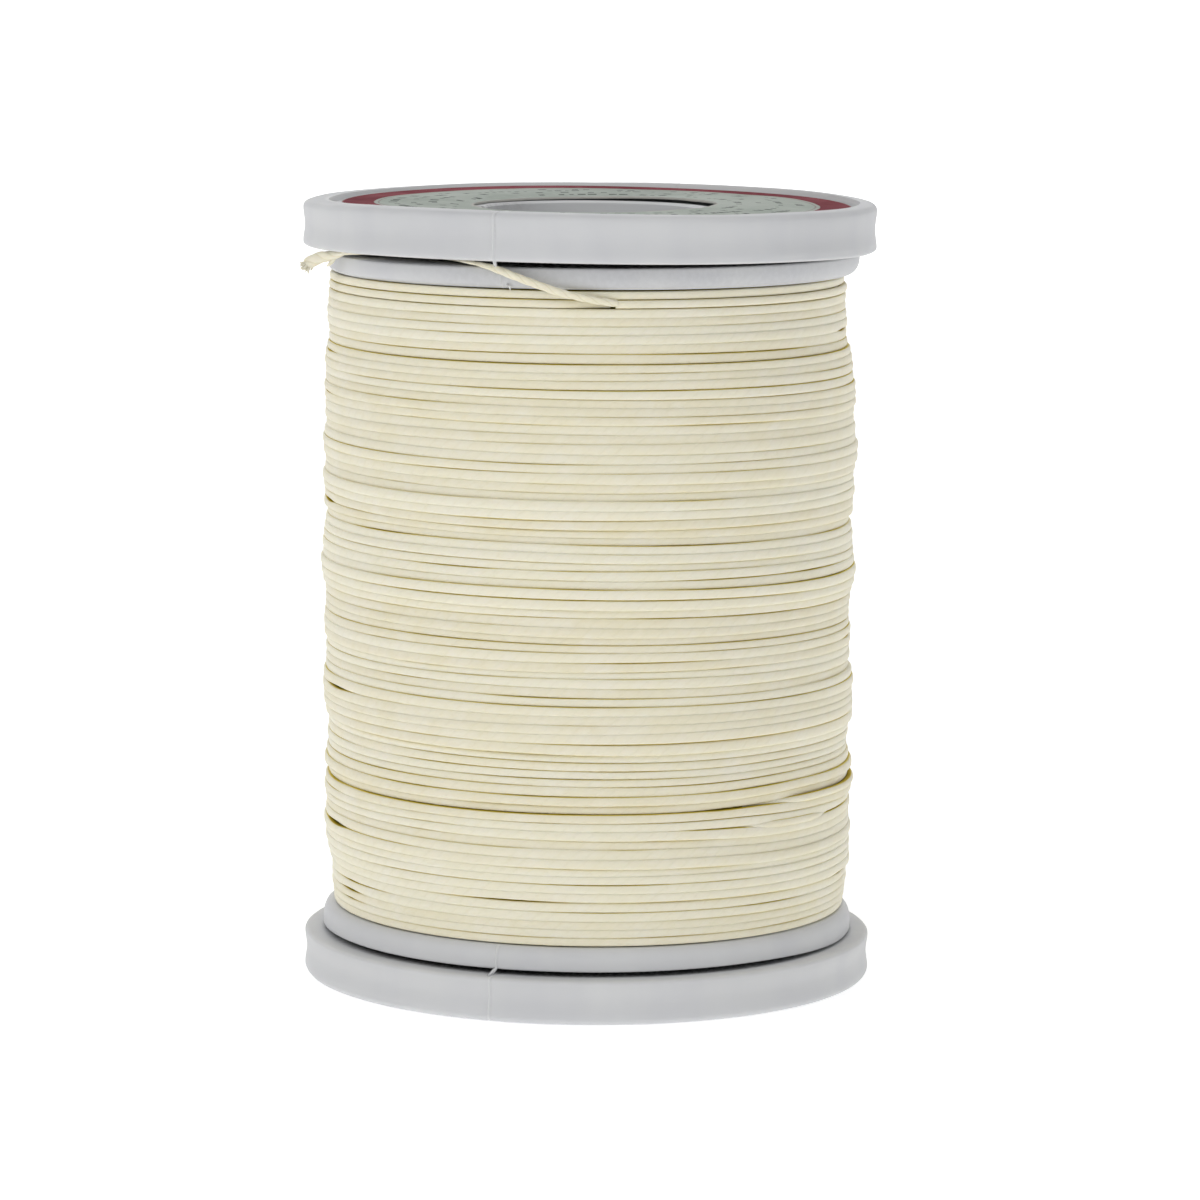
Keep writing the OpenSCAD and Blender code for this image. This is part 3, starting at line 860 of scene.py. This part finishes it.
def cord_noise(count, sigma):
    """Open-ended smooth noise from the cord's own generator."""
    return smoothed(cord_random.standard_normal(count + int(8 * sigma)), sigma)[:count]


def turn_noise(turns, sigma):
    """Noise along the unrolled cord, so that it runs on from turn to turn."""
    return cord_noise(turns * COLUMNS, sigma).reshape(-1, COLUMNS)


# shares of the previous and the next turn, where one turn runs on into another
along = np.arange(COLUMNS) / COLUMNS
from_last = 0.5 * ease(0.09, 0.0, along)
into_next = 0.5 * ease(0.91, 1.0, along)


def run_on(values):
    """A value for each turn, blended where one turn runs on into the next."""
    before = np.concatenate([values[:1], values[:-1]])[:, None]
    after = np.concatenate([values[1:], values[-1:]])[:, None]
    return values[:, None] * (1 - from_last - into_next) + before * from_last + after * into_next


# helical in the middle, flat with a short jog at both ends of the package
rows = np.arange(TURNS)[:, None]
flat = np.maximum(ease(6, 0, rows), ease(WOUND - 9, WOUND - 1, rows))
jog = into_next - from_last
heights = turn_z(rows) + PITCH * ((1 - flat) * (along - 0.5) + flat * jog)
heights[0] += PITCH * from_last                    # the first turn starts flat
heights[WOUND:] = turn_z(rows[WOUND:])
heights[WOUND - 1] -= PITCH * into_next            # the last settled turn ends flat
heights[TOP_ROW] -= 0.03

slow = turn_noise(WOUND, 75)
middling = turn_noise(WOUND, 40)
quick = turn_noise(WOUND, 14)
lifted = turn_noise(WOUND, 34)
# neighbours share part of their wander, because each turn is laid against the last
wander = np.zeros_like(slow)
wander[0] = slow[0]
for i in range(1, WOUND):
    wander[i] = 0.8 * wander[i - 1] + 0.6 * slow[i]
wander = (0.06 * wander + 0.066 * middling + 0.022 * quick
          + run_on(0.05 * cord_random.standard_normal(WOUND)))
fade = np.minimum(ease(0, 4, rows[:WOUND]), ease(WOUND, WOUND - 6, rows[:WOUND]))
heights[:WOUND] += wander * fade

turn_lift = run_on(0.075 * cord_random.standard_normal(WOUND))
group_lift = run_on(np.interp(np.arange(WOUND), np.arange(0, WOUND, 3.5),
                              0.065 * cord_random.standard_normal(20)))
left_r, right_r = package_sides(heights)
column_side = np.sin(np.radians(column_angle))
behind = ease(0.2, 0.8, -np.cos(np.radians(column_angle)))
radii = (left_r + right_r) / 2 + (right_r - left_r) / 2 * column_side - HALF_OUT
radii[:WOUND] += fade * (0.045 * lifted + turn_lift + group_lift)
radii[TOP_ROW] = 19.06 - 0.36 * column_side - 0.10 * behind
radii[UNDER_ROW] = RING_R - 0.04 - 0.34 * column_side - 0.08 * behind

# where turns spread apart in a wedge: angle, height, spread, width in degrees
WEDGES = [(-79, 47.6, 0.20, 7), (-80, 44.5, 0.22, 7), (-74, 15.9, 0.20, 8), (-73, 14.4, 0.17, 7),
          (-72, 12.2, 0.20, 8), (-65, 7.9, 0.22, 9), (-66, 6.7, 0.28, 8), (78, 49.6, 0.2, 7),
          (81, 26.5, 0.18, 6), (75, 8.6, 0.2, 7), (120, 40.0, 0.2, 10), (150, 22.0, 0.24, 9),
          (-150, 33.0, 0.2, 9), (-120, 18.0, 0.22, 9), (140, 10.0, 0.2, 8), (-146, 48.0, 0.13, 8),
          (105, 14.5, 0.2, 7), (-105, 27.0, 0.2, 8), (30, 15.3, 0.13, 7), (20, 13.8, 0.14, 7),
          (-78, 36.5, 0.18, 6), (-77, 29.5, 0.18, 6), (-70, 22.5, 0.18, 7)]
lens_random = np.random.default_rng(404)
LENSES = [(lens_random.uniform(-82, 82), lens_random.uniform(7.0, 51.0),
           lens_random.uniform(0.05, 0.12), lens_random.uniform(7, 15)) for _ in range(30)]
open_mask = np.zeros_like(heights)
for angle, z, spread, width in WEDGES + LENSES:
    reach = bell(angle_off(column_angle, angle), width)
    column = int(np.argmin(np.abs(angle_off(column_angle, angle))))
    above = heights[:, column][:, None] - z
    push = spread * np.sign(above) * np.exp(-np.abs(above) / 1.6)
    heights[:WOUND] += (push * reach)[:WOUND] * fade
    strength = 1.0 if spread > 0.15 else 0.55
    near = np.exp(-(np.abs(above) / 0.62) ** 6)
    open_mask = np.maximum(open_mask, strength * reach * near)


def settle(heights, radii, rounds):
    """Keeps neighbouring turns from sinking into each other; changes heights in place."""
    base = turn_z(rows[:WOUND])
    ceiling_drop = 0.55 * (WOUND - np.arange(WOUND - 1))[:, None]
    need = np.clip(0.53 - 0.6 * np.abs(radii[1:] - radii[:-1]), 0.36, None)
    need[WOUND - 1:] = 0.0
    for _ in range(rounds):
        overlap = np.clip(need - (heights[1:] - heights[:-1]), 0, None) * 0.5
        move = np.zeros_like(heights)
        move[:-1] -= overlap
        move[1:] += overlap
        move[0] = 0
        move[WOUND:] = 0
        heights += move * 0.9
        # a stretched cord doesn't bend sharply
        offset = heights[:WOUND] - base
        smooth = np.convolve(np.pad(offset.reshape(-1), 4, "edge"), np.ones(9) / 9, "valid")
        smooth = smooth.reshape(-1, COLUMNS)
        heights[:WOUND] = np.where(np.abs(smooth - offset) < 0.03, smooth, offset) + base
        ceiling = heights[UNDER_ROW][None, :] - ceiling_drop
        heights[:WOUND - 1] = np.minimum(heights[:WOUND - 1], ceiling)


settle(heights, radii, rounds=60)

# extra strands that surface between two turns: start and end angle, start and end height, lift
STRAYS = [(36.0, 132.0, 15.35, 15.9, 0.17), (26.0, 74.0, 13.85, 14.3, 0.14),
          (-172.0, -86.0, 36.2, 36.6, 0.16), (92.0, 152.0, 28.6, 29.0, 0.17),
          (-150.0, -96.0, 9.8, 10.1, 0.15)]
stray_rows = []                                    # the turn just below each strand
for a0, a1, z0, z1, _ in STRAYS:
    span = a1 - a0
    from_middle = angle_off(column_angle, (a0 + a1) / 2)
    inside = ease(span / 2 + 4, span / 2 - 14, np.abs(from_middle))
    strand_z = z0 + (z1 - z0) * np.clip((from_middle + span / 2) / span, 0, 1)
    # the crevice nearest to the strand's height takes it, and its two walls part
    crevice_z = (heights[1:WOUND] + heights[:WOUND - 1]) / 2
    below = int(np.argmin(np.abs(crevice_z - strand_z).mean(1)))
    away = rows - (below + 0.5)
    push = 0.21 * np.sign(away) * np.exp(-np.abs(away) / 5.0)
    heights[:WOUND] += (push * inside)[:WOUND]
    stray_rows.append(below)
settle(heights, radii, rounds=12)


# ----------------------------------------------------------------------------
# The wound cord: thickness and shade of its turns
# ----------------------------------------------------------------------------
gap_up = np.full_like(heights, 0.66)
gap_up[:-1] = heights[1:] - heights[:-1]
gap_down = np.roll(gap_up, 1, 0)

# how dark the painted shade in the line above each turn is: it drifts along the turn, and deepens
# with a real gap
drift = turn_noise(TURNS, 70)
flicker = turn_noise(TURNS, 9)
turn_shade = run_on(0.17 * cord_random.standard_normal(TURNS))
dark_up = np.clip(0.38 + 0.25 * drift + 0.18 * flicker + turn_shade, 0.0, 1.0)
dark_up = np.clip((dark_up + 1.5 * np.clip(gap_up - 0.76, 0, 0.2))
                  * (1 - 0.38 * ease(-30, -72, column_angle))
                  * (1 - 0.22 * ease(35, 70, column_angle)), 0, 1.1)
open_up = np.zeros_like(heights)
open_up[:-1] = np.minimum(open_mask[:-1], open_mask[1:])
dark_up = np.clip(dark_up + 1.0 * open_up, 0, 1.3)
# beside the end of a strand that dives under, the crevice is deep and its painted shade is darker
for below, (a0, a1, *_) in zip(stray_rows, STRAYS):
    for beside in (a0 + 5.0, a1 - 5.0):
        near = bell(angle_off(column_angle, beside), 9.0)
        dark_up[below] = np.clip(dark_up[below] + 0.9 * near, 0, 1.3)

# a faint line is where two turns are pressed together, and a dark one is a deeper crevice
squeeze = 0.20 * (1 - np.clip(dark_up, 0, 1)) ** 1.3
half_up = np.clip(0.5 * gap_up * (1.004 + squeeze), 0.22, 0.47 - 0.19 * open_up)
half_down = np.roll(half_up, 1, 0)
half_down[0] = 0.31
half_up[UNDER_ROW] = 0.315
half_down[TOP_ROW] = 0.315
half_up[TOP_ROW] = 0.30
dark_up[UNDER_ROW] = np.clip(dark_up[UNDER_ROW], 0, 0.45)
dark_up[MOVING_ROW] = np.clip(dark_up[MOVING_ROW], 0, 0.5)
dark_down = np.roll(dark_up, 1, 0)
# crowded turns ride a little lower, and turns with room ride higher
room = np.clip(0.5 * (gap_up + gap_down) - PITCH, -0.16, 0.12)
radii[:WOUND] += (0.55 * room)[:WOUND] * fade
tones = np.clip(0.5 + 0.35 * cord_noise(TURNS * COLUMNS, 200), 0, 1).reshape(-1, COLUMNS)


# ----------------------------------------------------------------------------
# The wound cord: its pieces
# ----------------------------------------------------------------------------
# a turn's section: angles from the outside, positive upwards
SECTION = np.array([-150, -97, -82, -68, -56, -44, -24, 0, 24, 44, 56, 68, 82, 97, 150], float)
TWIST = 0.013                                      # how far the plies stand out
LAY_R = 19.5                                       # radius at which the lay is measured


def laid_cord(name, angles, z, r, half_up, half_down, dark_up, dark_down, tone, closed=False,
              half_out=HALF_OUT, squareness=3.1, grow=1.0, lay_start=0.0, uv_cells=None,
              uv_rows=1):
    """A cord laid round the axis. Values are single, or one for each ring along its length.

    uv_cells holds each ring's u, the step in u and each ring's row in the map.
    """
    count, sides = len(angles), len(SECTION)

    def column(values):
        return np.broadcast_to(values, count)[:, None]

    section = np.radians(SECTION)[None, :]
    outward = signed_power(np.cos(section), 2.0 / squareness)
    upward = signed_power(np.sin(section), 2.0 / squareness)
    run = np.cumsum(np.abs(np.diff(angles)) * np.pi / 180 * LAY_R)
    run = lay_start + np.concatenate([[0], run])
    lay = run[:, None] / PLY + 3 * section / (2 * np.pi)
    ply_wave = np.cos(2 * np.pi * lay)
    out = half_out * outward * (1 + TWIST * ply_wave) * column(grow)
    up = np.where(upward > 0, column(half_up), column(half_down)) * upward
    up = up * (1 - TWIST * 0.6 + TWIST * 0.6 * ply_wave) * column(grow)
    points = polar(column(angles), column(r) + out, column(z) + up).reshape(-1, 3)
    # weight of the painted crevice shade: zero over the crown, full at the flanks
    flank = ease(46, 84, np.abs(SECTION))[None, :]
    dark = np.where(SECTION[None, :] > 0, column(dark_up), column(dark_down))
    crevice = np.clip(flank * dark * 1.15, 0, 1.3)
    crevice = np.where(np.abs(SECTION)[None, :] > 100, 1.0, crevice)
    # UVs: one row of the map for each turn
    if uv_cells is None:
        cells = count if closed else count - 1
        uv_cells = np.arange(cells) / float(cells), 1.0 / cells, np.zeros(cells)
    u, u_step, row = uv_cells
    u = u[:, None]
    v = (np.arange(sides) / sides)[None, :]
    uv = grid_uvs(u, u + u_step, (row[:, None] + 0.02 + 0.96 * v) / uv_rows,
                  (row[:, None] + 0.02 + 0.96 * (v + 1.0 / sides)) / uv_rows, flipped=True)
    attrs = {"crev": crevice.ravel(), "tone": np.repeat(column(tone), sides, 1).ravel(),
             "lay": lay.ravel()}
    tris = ()
    if not closed:
        points, start_cap, end_cap = add_caps(points, sides)
        tris = np.concatenate([start_cap, end_cap])
        uv = np.concatenate([uv, np.zeros((tris.size, 2))])
        attrs = {key: np.append(values, [1.0, 1.0]) for key, values in attrs.items()}
    quads = grid_quads(count, sides, closed, True, flipped=True)
    return build(name, points, quads, CORD, tris, uv, attrs)


PIECES = 5
PIECE_TURNS = WOUND // PIECES
OVERLAP = 3                                        # rings that run on inside the next piece
OVERLAP_GROW = (0.55, 0.86, 0.97)                  # thickness of those rings, from the end
END_DIVE = 0.75                                    # the cord's two ends sink this far in


def wound_piece(number):
    first = number * PIECE_TURNS
    at_start, at_end = number == 0, number == PIECES - 1
    index = np.arange(0 if at_start else -OVERLAP,
                      PIECE_TURNS * COLUMNS + 1 + (0 if at_end else OVERLAP))
    index = np.clip(index + first * COLUMNS, 0, WOUND * COLUMNS - 1)

    def take(values):
        return values[:WOUND].reshape(-1)[index]

    count = len(index)
    step = np.arange(count)
    grow = np.ones(count)
    r = take(radii)
    if at_start:
        r = r - END_DIVE * ease(26, 0, step)
    else:
        grow[:OVERLAP] = OVERLAP_GROW
    if at_end:
        r = r - END_DIVE * ease(count - 27, count - 1, step)
    else:
        grow[-OVERLAP:] = OVERLAP_GROW[::-1]
    cell = index[:-1]
    map_row = np.clip(cell // COLUMNS - first, 0, PIECE_TURNS - 1).astype(float)
    return laid_cord(
        "wound_cord_%d" % (number + 1), START - index * 360.0 / COLUMNS, take(heights), r,
        take(half_up), take(half_down), take(dark_up), take(dark_down), take(tones), grow=grow,
        lay_start=index[0] * LAY_R * 2 * np.pi / COLUMNS,
        uv_cells=((cell % COLUMNS) / COLUMNS, 1.0 / COLUMNS, map_row), uv_rows=PIECE_TURNS)


def ring_piece(name, row):
    return laid_cord(name, column_angle, heights[row], radii[row], half_up[row], half_down[row],
                     dark_up[row], dark_down[row], tones[row], closed=True, lay_start=row * 0.4)


def stray_piece(number, below, a0, a1, lift):
    """A strand from the layer below, in the crevice above the given turn."""
    angles = np.arange(a1, a0 - 1e-6, -COLUMN_STEP)
    position = ((START - angles) / COLUMN_STEP) % COLUMNS
    low = np.floor(position).astype(int) % COLUMNS
    part = position - np.floor(position)

    def at(values, row):
        return values[row, low] * (1 - part) + values[row, (low + 1) % COLUMNS] * part

    z = (at(heights, below) + at(heights, below + 1)) / 2
    wall_r = np.maximum(at(radii, below), at(radii, below + 1))
    step = np.arange(len(angles))
    rise = ease(0, 20, np.minimum(step, step[::-1]) * COLUMN_STEP)
    half = 0.30 * (0.45 + 0.55 * rise)
    tone = 0.5 + 0.3 * cord_noise(len(angles), 30)
    # its flanks take deep painted crevice shade
    return laid_cord("wound_cord_stray_%d" % (number + 1), angles, z,
                     wall_r - 0.55 + (0.55 + lift) * rise, half, half, dark_up=1.1,
                     dark_down=1.1, tone=tone, lay_start=number * 3.1, squareness=2.2)


wound = [wound_piece(k) for k in range(PIECES)]
wound.append(ring_piece("wound_cord_under_last", UNDER_ROW))
wound.append(ring_piece("wound_cord_top", TOP_ROW))
for k, (below, (a0, a1, _, _, lift)) in enumerate(zip(stray_rows, STRAYS)):
    wound.append(stray_piece(k, below, a0, a1, lift))
for ob in wound:
    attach(ob, "spool")
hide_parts("wound_thread")


# ----------------------------------------------------------------------------
# The layers underneath, seen only through the gaps
# ----------------------------------------------------------------------------
def core_profile():
    z = np.arange(WIND_HIGH - 0.3, WIND_LOW + 0.3, -PITCH / 6)
    r = np.minimum(*package_sides(z)) - 2 * HALF_OUT - 0.10
    r = np.minimum(r, 19.0 - 0.2 * bell(z - turn_z(MOVING_ROW), 0.8))
    r = np.minimum(r, np.where(z > 52.0, 18.6, 99))
    ripple = 0.1 * np.cos(2 * math.pi * (z - WIND_LOW) / PITCH + 1.0)
    inner = BARREL_R + 0.06
    points = [(inner, WIND_LOW + 0.75), (inner, HEIGHT / 2), (inner, WIND_HIGH - 0.75),
              (BARREL_R + 0.8, WIND_HIGH - 0.06), (15.5, WIND_HIGH - 0.06),
              (18.1, WIND_HIGH - 0.06), (18.35, WIND_HIGH - 0.2)]
    points += list(zip(r + ripple - 0.1, z))
    return points + [(18.2, WIND_LOW + 0.18), (18.0, WIND_LOW + 0.06), (15.5, WIND_LOW + 0.06),
                     (BARREL_R + 0.8, WIND_LOW + 0.06)]


def core_attributes(r, z, angle):
    # painted crevice shade at half strength over the whole inner layer
    half = np.full(r.shape, 0.5)
    return {"crev": half, "tone": half, "lay": angle * 0.34 / PLY}


core = lathe("wound_cord_inner_layers", core_profile(), np.arange(0, 360, 3.0), CORD,
             core_attributes)
face_outward(core)
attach(core, "spool")


# ----------------------------------------------------------------------------
# The last turn, which pays off round the package
# ----------------------------------------------------------------------------
def last_turn():
    count = 500
    start = 4.2                      # under the tail's root; it stops one degree short of a turn
    angles = np.linspace(start, start - 359.0, count)
    r = RING_R - 0.28 * np.sin(np.radians(angles))
    r = r - 0.42 * ease(18, 0, np.arange(count))     # its start tucks in behind the tail
    drift = cord_noise(count, 90)
    return laid_cord("last_turn_cord", angles, turn_z(MOVING_ROW), r, half_up=0.29,
                     half_down=0.315, dark_up=np.clip(0.45 + 0.25 * drift, 0, 1),
                     dark_down=np.clip(0.35 - 0.25 * drift, 0, 1),
                     tone=np.clip(0.5 + 0.2 * drift, 0, 1), half_out=0.285, squareness=2.7)


last = last_turn()
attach(last, "last_turn")
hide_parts("last_turn")


# ----------------------------------------------------------------------------
# The loose tail
# ----------------------------------------------------------------------------
def spline(keys, step):
    """Catmull-Rom through the keys, resampled evenly by its first three values."""
    keys = np.array(keys, float)
    p = np.vstack([2 * keys[0] - keys[1], keys, 2 * keys[-1] - keys[-2]])
    out = []
    for i in range(1, len(p) - 2):
        a, b, c, d = p[i - 1:i + 3]
        for t in np.linspace(0, 1, 24, endpoint=False):
            out.append(0.5 * (2 * b + (c - a) * t + (2 * a - 5 * b + 4 * c - d) * t * t
                              + (3 * b - a - 3 * c + d) * t ** 3))
    out = np.array(out + [keys[-1]])
    lengths = np.linalg.norm(np.diff(out[:, :3], axis=0), axis=1)
    run = np.concatenate([[0], np.cumsum(lengths)])
    even = np.arange(0, run[-1], step)
    return np.stack([np.interp(even, run, values) for values in out.T], -1), even


def rope(name, keys, step=0.10, sides=20, lobes=0.075, ply=PLY, plies=3, taper=(0, 0)):
    """A twisted cord along keys of x, y, z, half thickness (up), half width.

    taper holds the lengths over which its start and its end grow thin.
    """
    path, run = spline(keys, step)
    n = len(path)
    centre = path[:, :3]
    ahead = np.gradient(centre, axis=0)
    ahead /= np.linalg.norm(ahead, axis=1)[:, None]
    side = np.cross(ahead, np.array([0, 0, 1.0]))
    side /= np.linalg.norm(side, axis=1)[:, None]
    up = np.cross(side, ahead)
    around = np.arange(sides) * 2 * np.pi / sides
    lay = run[:, None] / ply + plies * around[None, :] / (2 * np.pi)
    half_thick, half_wide = path[:, 3:4], path[:, 4:5]
    lobe = lobes * np.clip(half_thick / 0.29, 0.45, 1.0)
    size = 1 - lobe + lobe * (np.abs(np.cos(np.pi * lay)) * 2 - 1)
    if taper[0]:
        size = size * (0.35 + 0.65 * ease(0, taper[0], run))[:, None]
    if taper[1]:
        size = size * (0.30 + 0.70 * ease(run[-1], run[-1] - taper[1], run))[:, None]
    across = half_wide * signed_power(np.cos(around), 2.0 / 2.3) * size
    upward = half_thick * signed_power(np.sin(around), 2.0 / 2.3) * size
    points = (centre[:, None, :] + side[:, None, :] * across[..., None]
              + up[:, None, :] * upward[..., None]).reshape(-1, 3)
    points, start_cap, end_cap = add_caps(points, sides)
    tris = np.stack([start_cap, end_cap], 1).reshape(-1, 3)[:, [0, 2, 1]]
    attrs = {"crev": np.append(np.zeros(n * sides), [0.3, 0.3]),
             "tone": np.full(len(points), 0.4),
             "lay": np.append((lay + 0.5).ravel(), [0, 0])}
    u = (np.arange(n - 1) / (n - 1))[:, None]
    v = (np.arange(sides) / sides)[None, :]
    uv = grid_uvs(u, u + 1.0 / (n - 1), v, v + 1.0 / sides)
    uv = np.concatenate([uv, np.zeros((tris.size, 2))])
    ob = build(name, points, grid_quads(n, sides, False, True), CORD_LOOSE, tris, uv, attrs)
    face_outward(ob)
    return ob


TAIL_HALF = 0.29
# from the root up to the slit: angle, radius, height, half thickness, half width
TAIL_CLIMB = [
    (6.5, 19.24, 52.53, 0.27, 0.27), (5.0, 19.36, 52.60, 0.28, 0.285),
    (1.0, 19.72, 52.83, TAIL_HALF, TAIL_HALF), (-2.0, 19.92, 53.04, TAIL_HALF, TAIL_HALF),
    (-4.9, 20.10, 53.27, TAIL_HALF, TAIL_HALF), (-8.0, 20.33, 53.60, TAIL_HALF, TAIL_HALF),
    (-10.6, 20.44, 53.92, TAIL_HALF, TAIL_HALF), (-12.4, 20.47, 54.13, TAIL_HALF, TAIL_HALF),
    (-16.6, 20.48, 54.64, TAIL_HALF, TAIL_HALF), (-19.4, 20.46, 54.98, 0.275, TAIL_HALF),
    (-21.6, 20.36, 55.165, 0.21, 0.30), (-23.8, 20.10, 55.285, 0.15, 0.33),
    (-26.0, 19.77, 55.345, 0.135, 0.37)]
# pinched flat inside the slit: angle, radius
TAIL_SLIT = [(-29.5, 18.95), (-34.0, 18.0), (-39.5, 17.38), (-46.5, 17.33), (-53.0, 17.9),
             (-58.5, 18.95)]
# out of the slit to the cut end: x, y, z, half thickness, half width
TAIL_END = [
    (-17.7, -9.15, 55.33, 0.15, 0.36), (-18.35, -8.6, 55.27, 0.19, 0.34),
    (-19.05, -8.0, 55.05, 0.33, 0.35), (-19.75, -7.5, 54.92, 0.43, 0.40),
    (-20.42, -7.12, 54.70, 0.47, 0.45), (-20.92, -6.9, 54.38, 0.48, 0.46),
    (-21.08, -6.82, 54.17, 0.45, 0.45)]
# one ply that has come away: the same columns
LOOSE_PLY = [
    (-18.8, -8.1, 55.0, 0.10, 0.12), (-19.0, -8.05, 54.82, 0.13, 0.13),
    (-19.15, -8.0, 54.6, 0.14, 0.14), (-19.35, -7.9, 54.40, 0.13, 0.13),
    (-19.62, -7.75, 54.2, 0.11, 0.12)]

tail_stations = TAIL_CLIMB + [(a, r, 55.375, 0.13, 0.37) for a, r in TAIL_SLIT]
tail_keys = [tuple(polar(a, r, z)) + (thick, wide) for a, r, z, thick, wide in tail_stations]
tail = rope("loose_tail_cord", tail_keys + TAIL_END, taper=(0.5, 0.07))
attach(tail, "tail")
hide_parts("loose_tail")


def frayed_fibres():
    """Fine fibres that spread from the tail's cut end."""
    end = np.array(TAIL_END[-1][:3])
    ahead = unit(end - np.array(TAIL_END[-2][:3]))
    side = unit(np.cross(ahead, [0, 0, 1.0]))
    up = np.cross(side, ahead)
    random = np.random.default_rng(31)
    fibres = []
    for k in range(46):
        angle = random.uniform(0, 2 * np.pi)
        radius = 0.42 * math.sqrt(random.uniform(0, 1))
        off = side * math.cos(angle) * radius * 1.2 + up * math.sin(angle) * radius
        length = random.uniform(0.18, 0.42)
        spread = off * random.uniform(0.2, 0.9) + random.normal(0, 0.03, 3)
        half = random.uniform(0.035, 0.06)
        # position and share of the half thickness
        stations = [(end - ahead * 0.45 + off * 0.7, 1.0),
                    (end - ahead * 0.05 + off, 1.0),
                    (end + ahead * length * 0.5 + off + spread * 0.4, 0.9),
                    (end + ahead * length + off + spread * 0.9, 0.6)]
        keys = [tuple(point) + (half * share, half * share) for point, share in stations]
        fibres.append(rope("tail_fibre_%02d" % (k + 1), keys, step=0.06, sides=6, lobes=0.0,
                           taper=(0, 0.2)))
    return fibres


def join_fringe(parts):
    """Joins the parts into one object and removes them."""
    bm = bmesh.new()
    for name in ("crev", "tone", "lay"):
        bm.verts.layers.float.new(name)
    for ob in parts:
        bm.from_mesh(ob.data)
    me = bpy.data.meshes.new("tail_fringe")
    bm.to_mesh(me)
    bm.free()
    for ob in parts:
        old = ob.data
        bpy.data.objects.remove(ob, do_unlink=True)
        bpy.data.meshes.remove(old)
    me.materials.append(CORD_LOOSE)
    me.polygons.foreach_set("use_smooth", [True] * len(me.polygons))
    return link(bpy.data.objects.new("tail_fringe", me))


fringe_parts = frayed_fibres()
fringe_parts.append(rope("tail_loose_ply", LOOSE_PLY, step=0.06, sides=12, lobes=0.05, ply=0.5,
                         plies=2, taper=(0.1, 0.3)))
fringe = join_fringe(fringe_parts)
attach(fringe, "tail")


# ----------------------------------------------------------------------------
# Floor, light and camera, in metres
# ----------------------------------------------------------------------------
def studio_sheet():
    """A white floor that sweeps up into a wall at the back."""
    bend_y, bend_r = 1.1, 0.5
    profile = [(y, 0.0) for y in np.linspace(-1.6, bend_y, 28)]
    profile += [(bend_y + bend_r * math.sin(t), bend_r - bend_r * math.cos(t))
                for t in np.linspace(0, math.pi / 2, 13)[1:]]
    profile += [(bend_y + bend_r, z) for z in np.linspace(bend_r, 2.0, 7)[1:]]
    across = np.linspace(-2.2, 2.2, 23)
    points = np.array([(x, y, z - 0.00001) for y, z in profile for x in across])
    m = Shader("studio_white")
    m.surface({
        "Base Color": (0.93, 0.93, 0.93, 1),
        "Roughness": 0.9,
        "Specular IOR Level": 0.1,
        "Emission Color": (1, 1, 1, 1),
        "Emission Strength": 0.47,
    })
    quads = grid_quads(len(profile), len(across), False, False, flipped=True)
    build("studio_sheet", points / MM, quads, m.material)


def area_light(name, location, target, size, power, color=(1, 1, 1)):
    light = bpy.data.lights.new(name, "AREA")
    light.shape = "RECTANGLE"
    light.size, light.size_y = size
    light.energy = power
    light.color = color
    ob = link(bpy.data.objects.new(name, light))
    ob.location = location
    aim = Vector(target) - Vector(location)
    ob.rotation_euler = aim.to_track_quat("-Z", "Y").to_euler()


def studio_world():
    """White where the camera sees it, but only a soft light on the spool."""
    world = bpy.data.worlds.new("studio")
    bpy.context.scene.world = world
    world.use_nodes = True
    nodes, links = world.node_tree.nodes, world.node_tree.links
    background = nodes["Background"]
    background.inputs["Color"].default_value = (1, 1, 1, 1)
    path = nodes.new("ShaderNodeLightPath")
    strength = nodes.new("ShaderNodeMath")
    strength.operation = "MULTIPLY_ADD"
    strength.inputs[1].default_value = 0.90      # added for the camera
    strength.inputs[2].default_value = 0.185     # light on the spool
    links.new(path.outputs["Is Camera Ray"], strength.inputs[0])
    links.new(strength.outputs[0], background.inputs["Strength"])


def view_camera():
    data = bpy.data.cameras.new("view")
    data.sensor_width = 36.0
    data.sensor_fit = "HORIZONTAL"
    data.lens = 161.946
    data.clip_start = 0.01
    data.clip_end = 20
    camera = link(bpy.data.objects.new("view", data))
    place = Matrix.Translation((0.000814, -0.4064, 0.08429))
    tilt = Matrix.Rotation(math.radians(90 - 7.827), 4, "X")
    roll = Matrix.Rotation(math.radians(0.484), 4, "Z")
    camera.matrix_world = place @ tilt @ roll
    bpy.context.scene.camera = camera


studio_sheet()
area_light("key_left", location=(-0.80, -0.74, 0.78), target=(0, 0, 0.03), size=(0.7, 0.7),
           power=4.85)
area_light("fill_right", location=(0.85, -0.78, 0.58), target=(0, 0, 0.03), size=(0.8, 0.8),
           power=2.45, color=(0.97, 0.98, 1.0))
area_light("top", location=(0.0, -0.05, 1.1), target=(0, 0, 0), size=(1.2, 1.2), power=3.3)
area_light("sweep", location=(0.0, 0.75, 1.3), target=(0, 1.6, 0.85), size=(2.2, 1.0), power=8.0)
studio_world()
view_camera()
view = bpy.context.scene.view_settings
view.view_transform = "Standard"
view.look = "None"
view.exposure = 0.0
